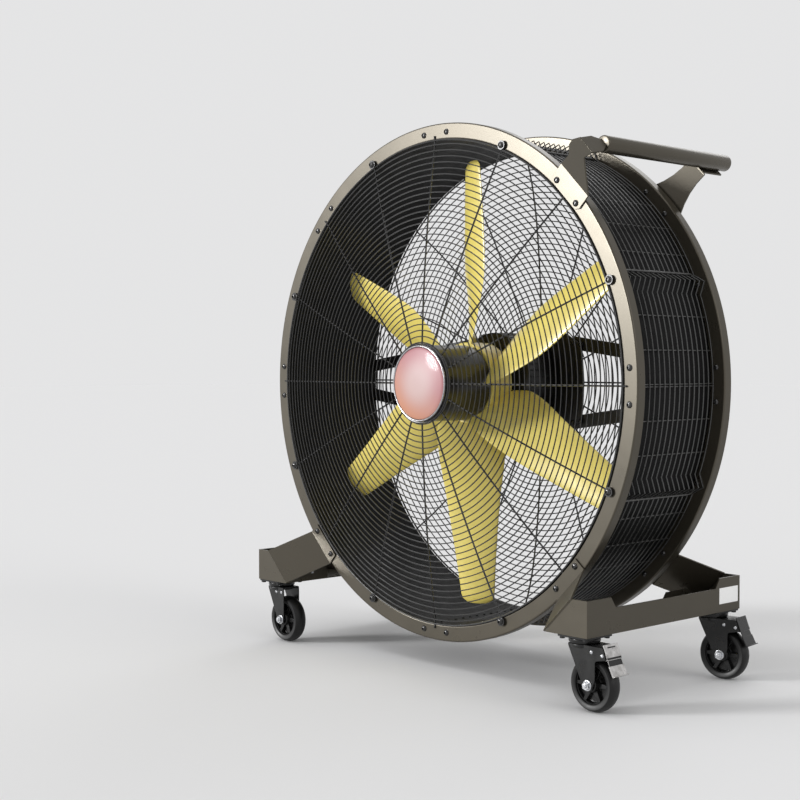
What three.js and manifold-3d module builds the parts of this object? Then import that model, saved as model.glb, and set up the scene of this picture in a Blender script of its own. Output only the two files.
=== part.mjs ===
// A wheeled drum fan: a wire-caged steel drum on a sheet-metal base with four swivel casters.
// Millimetres, +Z up, the air leaves along -Y. The origin is on the floor below the drum's middle.
import * as THREE from "three";
import { mergeVertices } from "three/addons/utils/BufferGeometryUtils.js";
import Module from "manifold-3d";

const wasm = await Module();
wasm.setup();

// Fits
const seatGap = 0.3; // between two pieces that touch
const runningGap = 3; // between a turning piece and a fixed one

// Drum
const drumRadius = 650;
const drumDepth = 348; // front face of the front ring to the back edge of the rear ring
const floorClearance = 68; // below the drum
const axisHeight = floorClearance + drumRadius;
const ringSheet = 3;
const ringFaceWidth = 41;
const ringLipDepth = 26;
const ringHemDepth = 8;
const ringSegments = 64;
const ringBore = drumRadius - ringFaceWidth;

// Guards
const guardWire = 4; // thickness of a guard's wires, front to back
const guardBand = 6; // width of a guard's round wires
const guardSpokeWidth = 7;
const guardSpokes = 16;
const guardRingGaps = 5; // gaps between the round wires
const guardGapSegments = 2; // straight pieces of a round wire between two spokes
const guardRimWidth = 10;
const guardRimOverlap = 4; // how far the guard's rim lies on the ring's face
const frontDome = 47;
const rearDome = 45;
const rearRimStep = 25; // the rear guard's steep rise beside its rim

// Shell: the air duct inside the rings
const shellSheet = 1.2;

// Side cage
const cageStandoff = 7; // the wires stand this far off the rings' bore
const cageRadius = ringBore + cageStandoff;
const cageWire = 4;
const cagePanels = 4;
const cageFolds = 2; // in each panel
const cageHoops = 4;
const cageHoopBand = 7;
const cageBarWidth = 7;
const cageFoldHeight = 22;
const cageFoldWidth = 50;

// Badge and nose
const noseRadius = 96;
const noseWall = 3;
const trimWidth = 6;
const badgeRadius = noseRadius - trimWidth;
const badgeThickness = 6;
const badgeCrown = 7;
const crownSteps = 4;
const trimBevel = 3;
const trimStand = 2; // how far the trim stands proud of the badge's edge

// Impeller
const bladeCount = 6;
const tipClearance = 37; // to the rings' bore
const bladeTipRadius = ringBore - tipClearance;
const bladeThickness = 4;
const impellerOffset = -35; // middle plane of the blades, from the drum's middle
const hubRadius = 103.6;
const hubDepth = 68;
const hubRim = 10; // width of the hub's front rim
const hubRecess = 10; // depth of the dish inside that rim
const hubRecessSlope = 12;
const hubBladeGap = 1; // least radial gap that the blade's faceted root keeps
// Blade sections: place from root (0) to tip (1), pitch in degrees, and the two edges' distances from
// the radial line as shares of the tip radius
const bladeSections = [
  { place: 0, pitch: 50, lead: 0.157, trail: 0.096 },
  { place: 0.097, pitch: 44, lead: 0.171, trail: 0.14 },
  { place: 0.204, pitch: 37.5, lead: 0.163, trail: 0.14 },
  { place: 0.418, pitch: 25.5, lead: 0.138, trail: 0.126 },
  { place: 0.739, pitch: 21.5, lead: 0.093, trail: 0.108 },
  { place: 1, pitch: 21, lead: 0.058, trail: 0.1 },
];
const bladeChordCells = 4;
const bladeCamber = 0.06; // of the chord

// Motor
const motorRadius = 130;
const motorWall = 8;
const motorGap = 30; // back of the impeller hub to the motor's front shield
const shieldThickness = 9;
const shieldNose = { height: 5, land: 12, slope: 12 }; // the boss round the front bearing
const shieldEdge = { width: 12, drop: 5 };
const housingEdge = 6; // bevel at the housing's back
const housingEnd = 4; // thickness behind the rear bearing
const shaftRadius = 20;
const shaftStep = 5; // the shaft's rear end is this much thinner
const shaftInset = 2; // the shaft's front end behind the hub's front rim
const bearingRadius = 31;
const bearingWidth = 14;
const rotorRadius = 80;
const rotorLength = 54;
const statorInner = 84;
const terminalBoxSize = { x: 90, y: 60, z: 34 };
const glandRadius = 11;
const glandLength = 18;

// Motor plate and arms
const plateHalfWidth = 215;
const plateHalfHeight = motorRadius;
const plateShoulder = 150; // half width of the plate's straight top edge
const plateShoulderDrop = 32;
const plateBulge = 8; // how far the plate's sides swell in the middle
const plateThickness = 5;
const armWidth = 34;
const armTipShare = 0.6; // the arm's cropped ends, as a share of its width
const tabSheet = 4; // what is bolted to the rings: arms, brackets and legs
const boltInset = 23; // from the ring's outer edge
const boltCircle = drumRadius - boltInset;
const boltHalfAngle = 3.73; // degrees between a bolt and the middle of its pair
const armInset = { x: 37, z: 27 }; // the arm's inner bolt from the plate's edges
const armInner = { x: plateHalfWidth - armInset.x, z: plateHalfHeight - armInset.z };

// Handle, at 45 degrees to the right of the top
const handleAngle = 45;
const handleStandoff = 116; // the tube's axis from the ring's outer edge
const handleRadius = drumRadius + handleStandoff;
const tubeRadius = 20;
const tubeWall = 2;
const tubeEdge = 3; // bevel round the tube's closed ends
const tubeCap = 5; // thickness of those ends
const tubeVent = 3; // radius of the hole in the rear end
const tubeSetback = 8; // the tube's front end behind the drum's front face
const tubeBehind = 122; // the tube's rear end behind the drum
const tubeFront = -drumDepth / 2 + tubeSetback;
const tubeRear = drumDepth / 2 + tubeBehind;
const bracketFoot = 114;
const bracketHead = { front: 52, rear: 60 };
const bracketDrop = { front: 9, rear: 23 }; // where the brackets' plates end, below the tube's axis
const bracketCrop = 10; // the front bracket's inner corners
const bracketStand = 11; // the front bracket's first fold outside the ring
const bracketLean = 40; // how far its plate comes forward from there to the second fold
// That plate's edges between the folds: place across, and share of the way outwards
const bracketRightEdge = [{ across: 30, share: 0.36 }, { across: 7, share: 0.68 }];
const bracketLeftEdge = [
  { across: -45, share: 0.8 },
  { across: -51, share: 0.6 },
  { across: -42, share: 0.38 },
];
const flangeAngle = 16; // the flange's slope outwards from its fold, in degrees
const flangeCrop = 18; // where the flange narrows, before its end
const flangeTip = 20; // width of that end
const rearWaist = 12; // the rear bracket's tab is this much narrower on each side
const rearStand = 8; // the rear bracket's plate behind the ring
const rearLean = 20; // how far that plate leans back on its way out
const rearHollow = 9; // how far its curved edges swing in
const saddleLength = 108;

// Base
const railInset = 50; // outer faces of the rails inside the drum's width
const railOuter = drumRadius - railInset;
const railWidth = 124;
const railBottom = 169;
const railOverhang = 110; // the rails' ends beyond the drum's faces
const railHalfLength = drumDepth / 2 + railOverhang;
const railSheet = 4;
const railWebHeight = 58;
const railEndLength = 82;
const railStepLength = 16;
const innerWebHeight = 40;
const innerWebLength = 144;
const innerWebEnd = { rise: 24, slope: 12 }; // the inner web's cropped end
const legWidth = 114;
const legLap = 2; // how far the leg's tab stands proud of the ring
const legChordRadius = drumRadius + legLap;
const legHalfAngle = (Math.asin(legWidth / 2 / legChordRadius) * 180) / Math.PI;
const legAngle = 45; // degrees below the horizontal
const railEndHeight = legWidth * Math.SQRT1_2 + 1.4; // the slanted rail end is as wide as the leg

// Casters
const wheelRadius = 62.5;
const wheelWidth = 36;
const wheelHubRadius = 21;
const wheelHubWidth = 40;
const wheelSegments = 24;
const treadBevel = 5;
const tyreWidth = { outer: 12, inner: 16 }; // the tyre's depth at its side face and at the web
const casterTrail = 31;
const casterPlate = 90;
const casterPlateThickness = 4;
const casterInset = 0; // the plate's edge from the rail's outer face
const raceRadius = 36;
const raceHeight = 13;
const yokeRadius = 34;
const forkSheet = 3;
const forkInner = 48; // clear width between the fork's legs
const forkBoss = 14; // the leg's reach round the axle
const forkLegReach = { ahead: 21, behind: 24 }; // the leg's edges above the axle
const forkHeel = 26; // the fork's top behind the swivel axis
const forkReach = 83; // the fork's arm ahead of the swivel axis
const forkArm = { depth: 27, slope: 10, rise: 6 }; // the arm's front edge and its underside's slope
const axleRadius = 6;
const axleHeadRadius = 10;
const axleHeadHeight = 6;
const pedalWidth = 51;
const pedalSheet = 3;
const pedalRise = 6; // the pedal's top edge above the fork
const pedalFlat = 2; // how far the pedal runs straight on below the arm
const pedalToe = { ahead: 18, drop: 37 }; // the pedal's lower part
const pedalLip = { ahead: 7, rise: 5 };
const casterHeadings = { front_right: 0, rear_right: 8, front_left: -1, rear_left: 4 };

const degree = Math.PI / 180;
const frontFace = -drumDepth / 2;
const rearFace = drumDepth / 2 - ringLipDepth; // front face of the rear ring
const tabInner = ringBore + guardRimOverlap + 1; // least radius of what is bolted to the rings
const tabFace = rearFace + ringSheet + seatGap; // front of what is bolted behind the rear ring

const steel = new THREE.MeshStandardMaterial({ color: 0x5b574e, roughness: 0.55, metalness: 0.4 });
const wire = new THREE.MeshStandardMaterial({ color: 0x26262a, roughness: 0.45, metalness: 0.5 });
const yellow = new THREE.MeshStandardMaterial({ color: 0xeccd5e, roughness: 0.45, metalness: 0 });
const black = new THREE.MeshStandardMaterial({ color: 0x121214, roughness: 0.3, metalness: 0.1 });
const red = new THREE.MeshStandardMaterial({ color: 0xd0524a, roughness: 0.25, metalness: 0 });
const zinc = new THREE.MeshStandardMaterial({ color: 0xc4c6c8, roughness: 0.3, metalness: 1 });
const tyre = new THREE.MeshStandardMaterial({ color: 0x1b1b1d, roughness: 0.6, metalness: 0 });

const fan = new THREE.Group();

const point = (x, y, z) => new THREE.Vector3(x, y, z);
const polar = (radius, degrees, y) =>
  point(radius * Math.cos(degrees * degree), y, radius * Math.sin(degrees * degree) + axisHeight);

function addPart(name, geometry, material, parent = fan) {
  const mesh = new THREE.Mesh(geometry, material);
  mesh.name = name;
  parent.add(mesh);
  return mesh;
}

// ---- Solids ----

function signedVolume(geometry) {
  const flat = geometry.index ? geometry.toNonIndexed() : geometry;
  const place = flat.getAttribute("position");
  const corner = [point(0, 0, 0), point(0, 0, 0), point(0, 0, 0)];
  let six = 0;
  for (let i = 0; i < place.count; i += 3) {
    corner.forEach((c, k) => c.fromBufferAttribute(place, i + k));
    six += corner[0].dot(corner[1].clone().cross(corner[2]));
  }
  return six / 6;
}

// The same closed surface with its shared corners merged and its faces turned outwards.
function closed(geometry) {
  const bare = geometry.clone();
  bare.deleteAttribute("normal");
  bare.deleteAttribute("uv");
  const merged = mergeVertices(bare, 1e-3);
  if (signedVolume(merged) < 0) {
    const index = merged.index.array;
    for (let i = 0; i < index.length; i += 3) [index[i + 1], index[i + 2]] = [index[i + 2], index[i + 1]];
  }
  return merged;
}

function solid(geometry) {
  const merged = closed(geometry);
  const vertProperties = new Float32Array(merged.getAttribute("position").array);
  return new wasm.Manifold(
    new wasm.Mesh({ numProp: 3, vertProperties, triVerts: new Uint32Array(merged.index.array) }),
  );
}

function surface(manifold) {
  const mesh = manifold.getMesh();
  const geometry = new THREE.BufferGeometry();
  const corners = new Float32Array(mesh.numVert * 3);
  for (let i = 0; i < mesh.numVert; i++) {
    corners.set(mesh.vertProperties.subarray(i * mesh.numProp, i * mesh.numProp + 3), i * 3);
  }
  geometry.setAttribute("position", new THREE.BufferAttribute(corners, 3));
  geometry.setIndex(new THREE.BufferAttribute(mesh.triVerts, 1));
  geometry.computeVertexNormals();
  return geometry;
}

const join = (...pieces) => surface(pieces.map(solid).reduce((whole, piece) => whole.add(piece)));
const cut = (base, tool) => surface(solid(base).subtract(solid(tool)));

// A body of revolution about the Y axis, from [radius, y] corners.
function revolved(corners, segments, closeProfile = true, phase = 0) {
  const profile = corners.map(([radius, y]) => new THREE.Vector2(radius, y));
  if (closeProfile) profile.push(profile[0].clone());
  return closed(new THREE.LatheGeometry(profile, segments, phase));
}

const mirrored = (geometry) => closed(geometry.clone().scale(-1, 1, 1));
const onAxis = (geometry) => geometry.translate(0, 0, axisHeight);

// A flat sheet: a polygon of 3-D corners in one plane, thickened along its own normal.
function sheet(corners, thickness) {
  const along = corners[1].clone().sub(corners[0]).normalize();
  const normal = point(0, 0, 0);
  corners.forEach((corner, i) => normal.add(corner.clone().cross(corners[(i + 1) % corners.length])));
  normal.normalize();
  const across = normal.clone().cross(along);
  const basis = new THREE.Matrix4().makeBasis(along, across, normal).setPosition(corners[0]);
  const toFlat = basis.clone().invert();
  const outline = corners.map((corner) => {
    const flat = corner.clone().applyMatrix4(toFlat);
    return new THREE.Vector2(flat.x, flat.y);
  });
  const depth = Math.abs(thickness);
  const body = new THREE.ExtrudeGeometry(new THREE.Shape(outline), { depth, bevelEnabled: false });
  if (thickness < 0) body.translate(0, 0, thickness);
  return closed(body.applyMatrix4(basis));
}

// The same sheet, thickened towards a given side.
function slab(corners, towards, thickness) {
  const normal = point(0, 0, 0);
  corners.forEach((corner, i) => normal.add(corner.clone().cross(corners[(i + 1) % corners.length])));
  return sheet(corners, normal.dot(towards) < 0 ? -thickness : thickness);
}

// An axis-aligned block between two corners.
function block(low, high) {
  const size = high.clone().sub(low);
  const middle = low.clone().add(high).multiplyScalar(0.5);
  return new THREE.BoxGeometry(size.x, size.y, size.z).translate(middle.x, middle.y, middle.z);
}

function rodAlong(axis, radius, from, to, segments = 16) {
  const rod = new THREE.CylinderGeometry(radius, radius, to - from, segments);
  rod.translate(0, (from + to) / 2, 0);
  if (axis === "z") rod.rotateX(Math.PI / 2);
  return rod;
}

// A sheet with openings, on a grid of columns and rows: filled(column, row) says which cells hold
// metal, and place(column, row, side) gives a corner on the sheet's inner (0) or outer (1) face.
function lattice(columns, rows, filled, place, wraps = false) {
  const lines = wraps ? columns : columns + 1;
  const corners = [];
  const index = [];
  for (let column = 0; column < lines; column++) {
    for (let row = 0; row <= rows; row++) {
      for (const side of [0, 1]) corners.push(...place(column, row, side).toArray());
    }
  }
  const inner = (column, row) => ((column % lines) * (rows + 1) + row) * 2;
  const outer = (column, row) => inner(column, row) + 1;
  const quad = (a, b, c, d) => index.push(a, b, c, a, c, d);
  const wall = (from, to) => quad(inner(...from), inner(...to), outer(...to), outer(...from));
  const holds = (column, row) => {
    const inside = wraps || (column >= 0 && column < columns);
    return inside && row >= 0 && row < rows && filled((column + columns) % columns, row);
  };
  for (let i = 0; i < columns; i++) {
    for (let j = 0; j < rows; j++) {
      if (!holds(i, j)) continue;
      quad(outer(i, j), outer(i + 1, j), outer(i + 1, j + 1), outer(i, j + 1));
      quad(inner(i, j), inner(i, j + 1), inner(i + 1, j + 1), inner(i + 1, j));
      if (!holds(i, j - 1)) wall([i, j], [i + 1, j]);
      if (!holds(i, j + 1)) wall([i + 1, j + 1], [i, j + 1]);
      if (!holds(i - 1, j)) wall([i, j + 1], [i, j]);
      if (!holds(i + 1, j)) wall([i + 1, j], [i + 1, j + 1]);
    }
  }
  const geometry = new THREE.BufferGeometry();
  geometry.setAttribute("position", new THREE.Float32BufferAttribute(corners, 3));
  geometry.setIndex(index);
  return closed(geometry);
}

// ---- Drum ----

// A flat ring with a lip round its outer edge and, on the front one, a hem round its bore.
function endRing(face, hemmed) {
  const hem = [
    [ringBore + ringSheet, face + ringSheet],
    [ringBore + ringSheet, face + ringHemDepth],
    [ringBore, face + ringHemDepth],
  ];
  const profile = [
    [ringBore, face],
    [drumRadius, face],
    [drumRadius, face + ringLipDepth],
    [drumRadius - ringSheet, face + ringLipDepth],
    [drumRadius - ringSheet, face + ringSheet],
    ...(hemmed ? hem : [[ringBore, face + ringSheet]]),
  ];
  return onAxis(revolved(profile, ringSegments));
}

function drumShell() {
  const outer = ringBore - seatGap;
  return onAxis(revolved([
    [outer - shellSheet, frontFace],
    [outer, frontFace],
    [outer, rearFace + ringSheet],
    [outer - shellSheet, rearFace + ringSheet],
  ], ringSegments));
}

const share = (radius) => radius / ringBore;
const frontRise = (radius) => frontDome * (1 - Math.min(1, share(radius)) ** 2);
const rearRise = (radius) => {
  const out = Math.min(1, share(radius));
  return rearDome * (1 - out ** 2) + rearRimStep * (1 - out ** 8);
};

// Radii of the edges of a guard's round wires, from its centre band to its rim.
function guardEdges(innerRadius) {
  const rimOuter = ringBore + guardRimOverlap;
  const rimInner = rimOuter - guardRimWidth;
  const edges = [innerRadius, innerRadius + guardBand];
  const pitch = (rimInner - innerRadius - guardBand - (guardRingGaps - 1) * guardBand) / guardRingGaps;
  for (let ring = 1; ring < guardRingGaps; ring++) {
    const start = innerRadius + guardBand + ring * pitch + (ring - 1) * guardBand;
    edges.push(start, start + guardBand);
  }
  edges.push(rimInner, rimOuter);
  return edges;
}

// A domed wire guard. near is the plane that its rim lies on, away is -1 for the front and 1 for the
// rear, and rise gives the dome's height at a radius.
function guard(near, away, rise, innerRadius) {
  const radii = guardEdges(innerRadius);
  const perSpoke = 1 + guardGapSegments;
  const columns = guardSpokes * perSpoke;
  const step = 360 / guardSpokes;
  const angleOf = (column, radius) => {
    const spoke = Math.floor(column / perSpoke);
    const place = column % perSpoke;
    const half = Math.asin(guardSpokeWidth / 2 / radius) / degree;
    const start = spoke * step + half;
    const across = ((step - 2 * half) * (place - 1)) / guardGapSegments;
    return place === 0 ? spoke * step - half : start + across;
  };
  const isSpoke = (column) => column % perSpoke === 0;
  const isRing = (row) => row % 2 === 0;
  return lattice(
    columns,
    radii.length - 1,
    (column, row) => isSpoke(column) || isRing(row),
    (column, row, side) => {
      const radius = radii[row];
      const height = seatGap + rise(radius) + side * guardWire;
      return polar(radius, angleOf(column, radius), near + away * height);
    },
    true,
  );
}

const guardHole = noseRadius + seatGap;

function rearGuardSolid() {
  const near = tabFace + tabSheet;
  const rim = guardHole + guardBand;
  const front = near + seatGap + rearRise(rim);
  const back = front + guardWire;
  const profile = [[0, front], [rim, front], [rim, back], [0, back]];
  const disc = onAxis(revolved(profile, ringSegments / 2, false));
  return join(guard(near, 1, rearRise, guardHole), disc);
}

// One panel of the wire cage round the drum's shell, with an outward fold in each of its bays.
function cagePanel(number) {
  const span = 360 / cagePanels;
  const bay = span / cageFolds;
  const start = number * span;
  const halfBar = cageBarWidth / 2 / cageRadius / degree;
  const halfFold = cageFoldWidth / 2 / cageRadius / degree;
  const panelGap = seatGap / cageRadius / degree;
  const lines = [];
  const addBar = (middle) => {
    lines.push({ angle: middle - halfBar, lift: 0, bar: true });
    lines.push({ angle: middle + halfBar, lift: 0, bar: false });
  };
  addBar(panelGap + halfBar);
  for (let fold = 1; fold <= cageFolds; fold++) {
    const peak = (fold - 0.5) * bay;
    addBar(peak - bay / 4);
    addBar(peak - halfFold);
    lines.push({ angle: peak, lift: cageFoldHeight, bar: false });
    addBar(peak + halfFold);
    addBar(peak + bay / 4);
    addBar(fold < cageFolds ? fold * bay : span - panelGap - halfBar);
  }
  const low = frontFace + ringSheet + seatGap;
  const high = rearFace - seatGap;
  const pitch = (high - low - cageHoopBand) / (cageHoops - 1);
  const levels = [];
  for (let hoop = 0; hoop < cageHoops; hoop++) {
    const edge = low + hoop * pitch;
    levels.push(edge, edge + cageHoopBand);
  }
  return lattice(
    lines.length - 1,
    levels.length - 1,
    (column, row) => lines[column].bar || row % 2 === 0,
    (column, row, side) => {
      const { angle, lift } = lines[column];
      return polar(cageRadius + lift + side * cageWire, start + angle, levels[row]);
    },
  );
}

// ---- Nose and badge ----

const guardFront = frontFace - seatGap - frontRise(guardHole) - guardWire; // its centre wire's front
const hubFront = impellerOffset - hubDepth / 2;
const hubBack = impellerOffset + hubDepth / 2;

function noseSleeve() {
  return onAxis(revolved([
    [noseRadius - noseWall, guardFront],
    [noseRadius, guardFront],
    [noseRadius, hubFront - runningGap],
    [noseRadius - noseWall, hubFront - runningGap],
  ], ringSegments / 2));
}

function badgeDisc() {
  const back = guardFront - seatGap;
  const rim = back - badgeThickness;
  const edge = badgeRadius - seatGap;
  const profile = [[0, back], [edge, back]];
  for (let step = crownSteps; step >= 0; step--) {
    const out = step / crownSteps;
    profile.push([edge * out, rim - badgeCrown * (1 - out ** 2)]);
  }
  return onAxis(revolved(profile, ringSegments / 2, false));
}

function badgeTrim() {
  const back = guardFront - seatGap;
  const front = back - badgeThickness - trimStand;
  return onAxis(revolved([
    [badgeRadius, back],
    [noseRadius, back],
    [noseRadius - trimBevel, front],
    [badgeRadius, front],
  ], ringSegments / 2));
}

// ---- Impeller ----

function impellerHub() {
  return onAxis(revolved([
    [shaftRadius + seatGap, hubFront + hubRecess],
    [hubRadius - hubRim - hubRecessSlope, hubFront + hubRecess],
    [hubRadius - hubRim, hubFront],
    [hubRadius, hubFront],
    [hubRadius, hubBack],
    [shaftRadius + seatGap, hubBack],
  ], ringSegments / 2));
}

function blade(number) {
  const turn = 90 - (number * 360) / bladeCount;
  const stations = bladeSections.length - 1;
  return lattice(
    stations,
    bladeChordCells,
    () => true,
    (station, cell, side) => {
      const { place, pitch, lead: leadShare, trail: trailShare } = bladeSections[station];
      const root = hubRadius + hubBladeGap;
      const radius = root + place * (bladeTipRadius - root);
      const lead = leadShare * bladeTipRadius;
      const trail = trailShare * bladeTipRadius;
      const chordShare = cell / bladeChordCells;
      const along = -trail + (lead + trail) * chordShare;
      const belly = bladeCamber * (lead + trail) * 4 * chordShare * (1 - chordShare);
      const offset = (side - 0.5) * bladeThickness + belly;
      const across = along * Math.cos(pitch * degree) - offset * Math.sin(pitch * degree);
      const back = -along * Math.sin(pitch * degree) - offset * Math.cos(pitch * degree);
      return polar(radius, turn - across / radius / degree, impellerOffset + back);
    },
  );
}

// ---- Motor ----

const shieldFront = hubBack + motorGap;
const housingFront = shieldFront + shieldThickness + seatGap;
const plateBack = tabFace - seatGap;
const plateFront = plateBack - plateThickness;
const housingBack = plateFront - seatGap;

function motorShield() {
  return onAxis(revolved([
    [bearingRadius + seatGap, shieldFront - shieldNose.height],
    [bearingRadius + shieldNose.land, shieldFront - shieldNose.height],
    [bearingRadius + shieldNose.land + shieldNose.slope, shieldFront],
    [motorRadius - shieldEdge.width, shieldFront],
    [motorRadius, shieldFront + shieldEdge.drop],
    [motorRadius, shieldFront + shieldThickness],
    [bearingRadius + seatGap, shieldFront + shieldThickness],
  ], ringSegments / 2));
}

function motorHousing() {
  const pocketBack = housingBack - housingEnd;
  const pocketFront = pocketBack - bearingWidth - 2 * seatGap;
  return onAxis(revolved([
    [0, housingBack],
    [motorRadius - housingEdge, housingBack],
    [motorRadius, housingBack - housingEdge],
    [motorRadius, housingFront],
    [motorRadius - motorWall, housingFront],
    [motorRadius - motorWall, pocketFront],
    [bearingRadius + seatGap, pocketFront],
    [bearingRadius + seatGap, pocketBack],
    [0, pocketBack],
  ], ringSegments / 2, false));
}

const housingMiddle = (housingFront + housingBack) / 2;
const boxBottom = axisHeight - motorRadius - terminalBoxSize.z;

// A box below the housing, its top hollowed to the housing's curve.
function terminalBox() {
  const { x, y } = terminalBoxSize;
  const top = axisHeight - motorRadius * Math.cos(Math.asin(x / 2 / motorRadius));
  const body = block(
    point(-x / 2, housingMiddle - y / 2, boxBottom),
    point(x / 2, housingMiddle + y / 2, top),
  );
  const curve = rodAlong("y", motorRadius + seatGap, -y, y, ringSegments);
  return cut(body, curve.translate(0, housingMiddle, axisHeight));
}

function cableGland() {
  const top = boxBottom - seatGap;
  return rodAlong("z", glandRadius, top - glandLength, top, 12).translate(0, housingMiddle, 0);
}

const rotorMiddle = (housingFront + housingBack - bearingWidth) / 2;
const rotorFront = rotorMiddle - rotorLength / 2;
const rotorBack = rotorMiddle + rotorLength / 2;

function motorStator() {
  const outer = (motorRadius - motorWall) * Math.cos((Math.PI * 2) / ringSegments) - seatGap;
  return onAxis(revolved([
    [statorInner, rotorFront],
    [outer, rotorFront],
    [outer, rotorBack],
    [statorInner, rotorBack],
  ], ringSegments / 2));
}

function motorRotor() {
  const rearRadius = shaftRadius - shaftStep;
  const front = hubFront + shaftInset;
  const back = housingBack - housingEnd - 1;
  return onAxis(revolved([
    [0, front],
    [shaftRadius, front],
    [shaftRadius, rotorFront],
    [rotorRadius, rotorFront],
    [rotorRadius, rotorBack],
    [rearRadius, rotorBack],
    [rearRadius, back],
    [0, back],
  ], ringSegments / 2, false));
}

function bearing(bore, front) {
  return onAxis(revolved([
    [bore, front],
    [bearingRadius, front],
    [bearingRadius, front + bearingWidth],
    [bore, front + bearingWidth],
  ], ringSegments / 2));
}

function motorPlate() {
  const corner = plateHalfHeight - plateShoulderDrop;
  const side = plateHalfWidth - plateBulge;
  const outline = [
    [plateShoulder, plateHalfHeight], [side, corner], [plateHalfWidth, 0], [side, -corner],
    [plateShoulder, -plateHalfHeight], [-plateShoulder, -plateHalfHeight], [-side, -corner],
    [-plateHalfWidth, 0], [-side, corner], [-plateShoulder, plateHalfHeight],
  ];
  const corners = outline.map(([x, z]) => point(x, plateFront, z + axisHeight));
  return slab(corners, point(0, 1, 0), plateThickness);
}

// A flat bar from the rear ring's bolt to the back of the motor plate.
function motorArm(right, up) {
  const outer = polar(boltCircle, boltHalfAngle, 0);
  const from = point(right * armInner.x, tabFace, axisHeight + up * armInner.z);
  const to = point(right * outer.x, tabFace, axisHeight + up * (outer.z - axisHeight));
  const along = to.clone().sub(from).normalize();
  const across = point(-along.z, 0, along.x).multiplyScalar(armWidth / 2);
  const reach = along.clone().multiplyScalar(armWidth / 2);
  const tip = across.clone().multiplyScalar(armTipShare);
  const inner = from.clone().sub(reach);
  const end = to.clone().add(reach);
  const corners = [
    inner.clone().add(tip),
    inner.clone().sub(tip),
    from.clone().sub(across),
    to.clone().sub(across),
    end.clone().sub(tip),
    end.clone().add(tip),
    to.clone().add(across),
    from.clone().add(across),
  ];
  return slab(corners, point(0, 1, 0), tabSheet);
}

// ---- Handle: built above the axis, then turned to its angle ----

const toHandle = (geometry) => onAxis(geometry.rotateY(handleAngle * degree));

function handleTube() {
  const tube = revolved([
    [0, tubeFront + tubeCap],
    [tubeRadius - tubeWall, tubeFront + tubeCap],
    [tubeRadius - tubeWall, tubeRear - tubeCap],
    [tubeVent, tubeRear - tubeCap],
    [tubeVent, tubeRear],
    [tubeRadius - tubeEdge, tubeRear],
    [tubeRadius, tubeRear - tubeEdge],
    [tubeRadius, tubeFront + tubeEdge],
    [tubeRadius - tubeEdge, tubeFront],
    [0, tubeFront],
  ], 20, false);
  return toHandle(tube.translate(0, 0, handleRadius));
}

// A tab on the front ring, a plate leaning forward and a flange folded back to the tube's front end.
function frontBracket() {
  const face = frontFace - seatGap;
  const outer = face - tabSheet;
  const foot = bracketFoot / 2;
  const head = bracketHead.front / 2;
  const footOut = drumRadius + bracketStand;
  const headOut = handleRadius - bracketDrop.front;
  const tab = slab([
    point(bracketCrop - foot, outer, tabInner), point(foot - bracketCrop, outer, tabInner),
    point(foot, outer, tabInner + bracketCrop), point(foot, outer, footOut + 1),
    point(-foot, outer, footOut + 1), point(-foot, outer, tabInner + bracketCrop),
  ], point(0, 1, 0), tabSheet);
  const onPlate = ({ across, share }) =>
    point(across, outer - bracketLean * share, footOut + (headOut - footOut) * share);
  const edges = [
    { across: -foot, share: 0 }, { across: foot, share: 0 }, ...bracketRightEdge,
    { across: head, share: 1 }, { across: -head, share: 1 }, ...bracketLeftEdge,
  ];
  const plate = slab(edges.map(onPlate), point(0, 1, 0), tabSheet);
  const foldFace = outer - bracketLean + tabSheet / 2;
  const length = tubeFront - seatGap - tabSheet * Math.sin(flangeAngle * degree) - foldFace;
  const climb = Math.tan(flangeAngle * degree);
  const flange = slab([
    [-head, 0], [head, 0], [head, length - flangeCrop], [flangeTip / 2, length],
    [-flangeTip / 2, length], [-head, length - flangeCrop],
  ].map(([x, back]) => point(x, foldFace + back, headOut + climb * back)),
  point(0, 0, -1), tabSheet);
  return toHandle(join(tab, plate, flange));
}

// A tab inside the rear ring, a step over the ring's edge, a plate leaning back and the tube's saddle.
function rearBracket() {
  const inner = tabFace;
  const back = drumDepth / 2 + seatGap;
  const plateFace = back + rearStand;
  const headFace = plateFace + rearLean;
  const foot = bracketFoot / 2;
  const head = bracketHead.rear / 2;
  const neckOut = handleRadius - bracketDrop.rear;
  const narrow = foot - rearWaist;
  const stepTop = drumRadius - ringSheet - 7; // inside the ring's lip
  const stepBottom = stepTop - tabSheet;
  const tab = block(point(-narrow, inner, tabInner), point(narrow, inner + tabSheet, stepTop));
  const step = block(
    point(-narrow, inner, stepBottom),
    point(narrow, plateFace + tabSheet, stepTop),
  );
  const edge = [0, 0.25, 0.5, 0.75, 1].map((share) => ({
    half: foot + (head - foot) * share - rearHollow * 4 * share * (1 - share),
    face: plateFace + rearLean * share,
    out: stepBottom + (neckOut - stepBottom) * share,
  }));
  const plate = slab([
    ...edge.map(({ half, face, out }) => point(half, face, out)),
    ...edge.map(({ half, face, out }) => point(-half, face, out)).reverse(),
  ], point(0, 1, 0), tabSheet);
  const saddleTop = handleRadius - tubeRadius - seatGap;
  const saddle = block(
    point(-tubeRadius, headFace, saddleTop - tabSheet),
    point(tubeRadius, back + saddleLength, saddleTop),
  );
  const neck = block(
    point(-head, headFace, neckOut - 1),
    point(head, headFace + tabSheet, saddleTop),
  );
  return toHandle(join(tab, step, plate, neck, saddle));
}

// ---- Base ----

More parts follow.
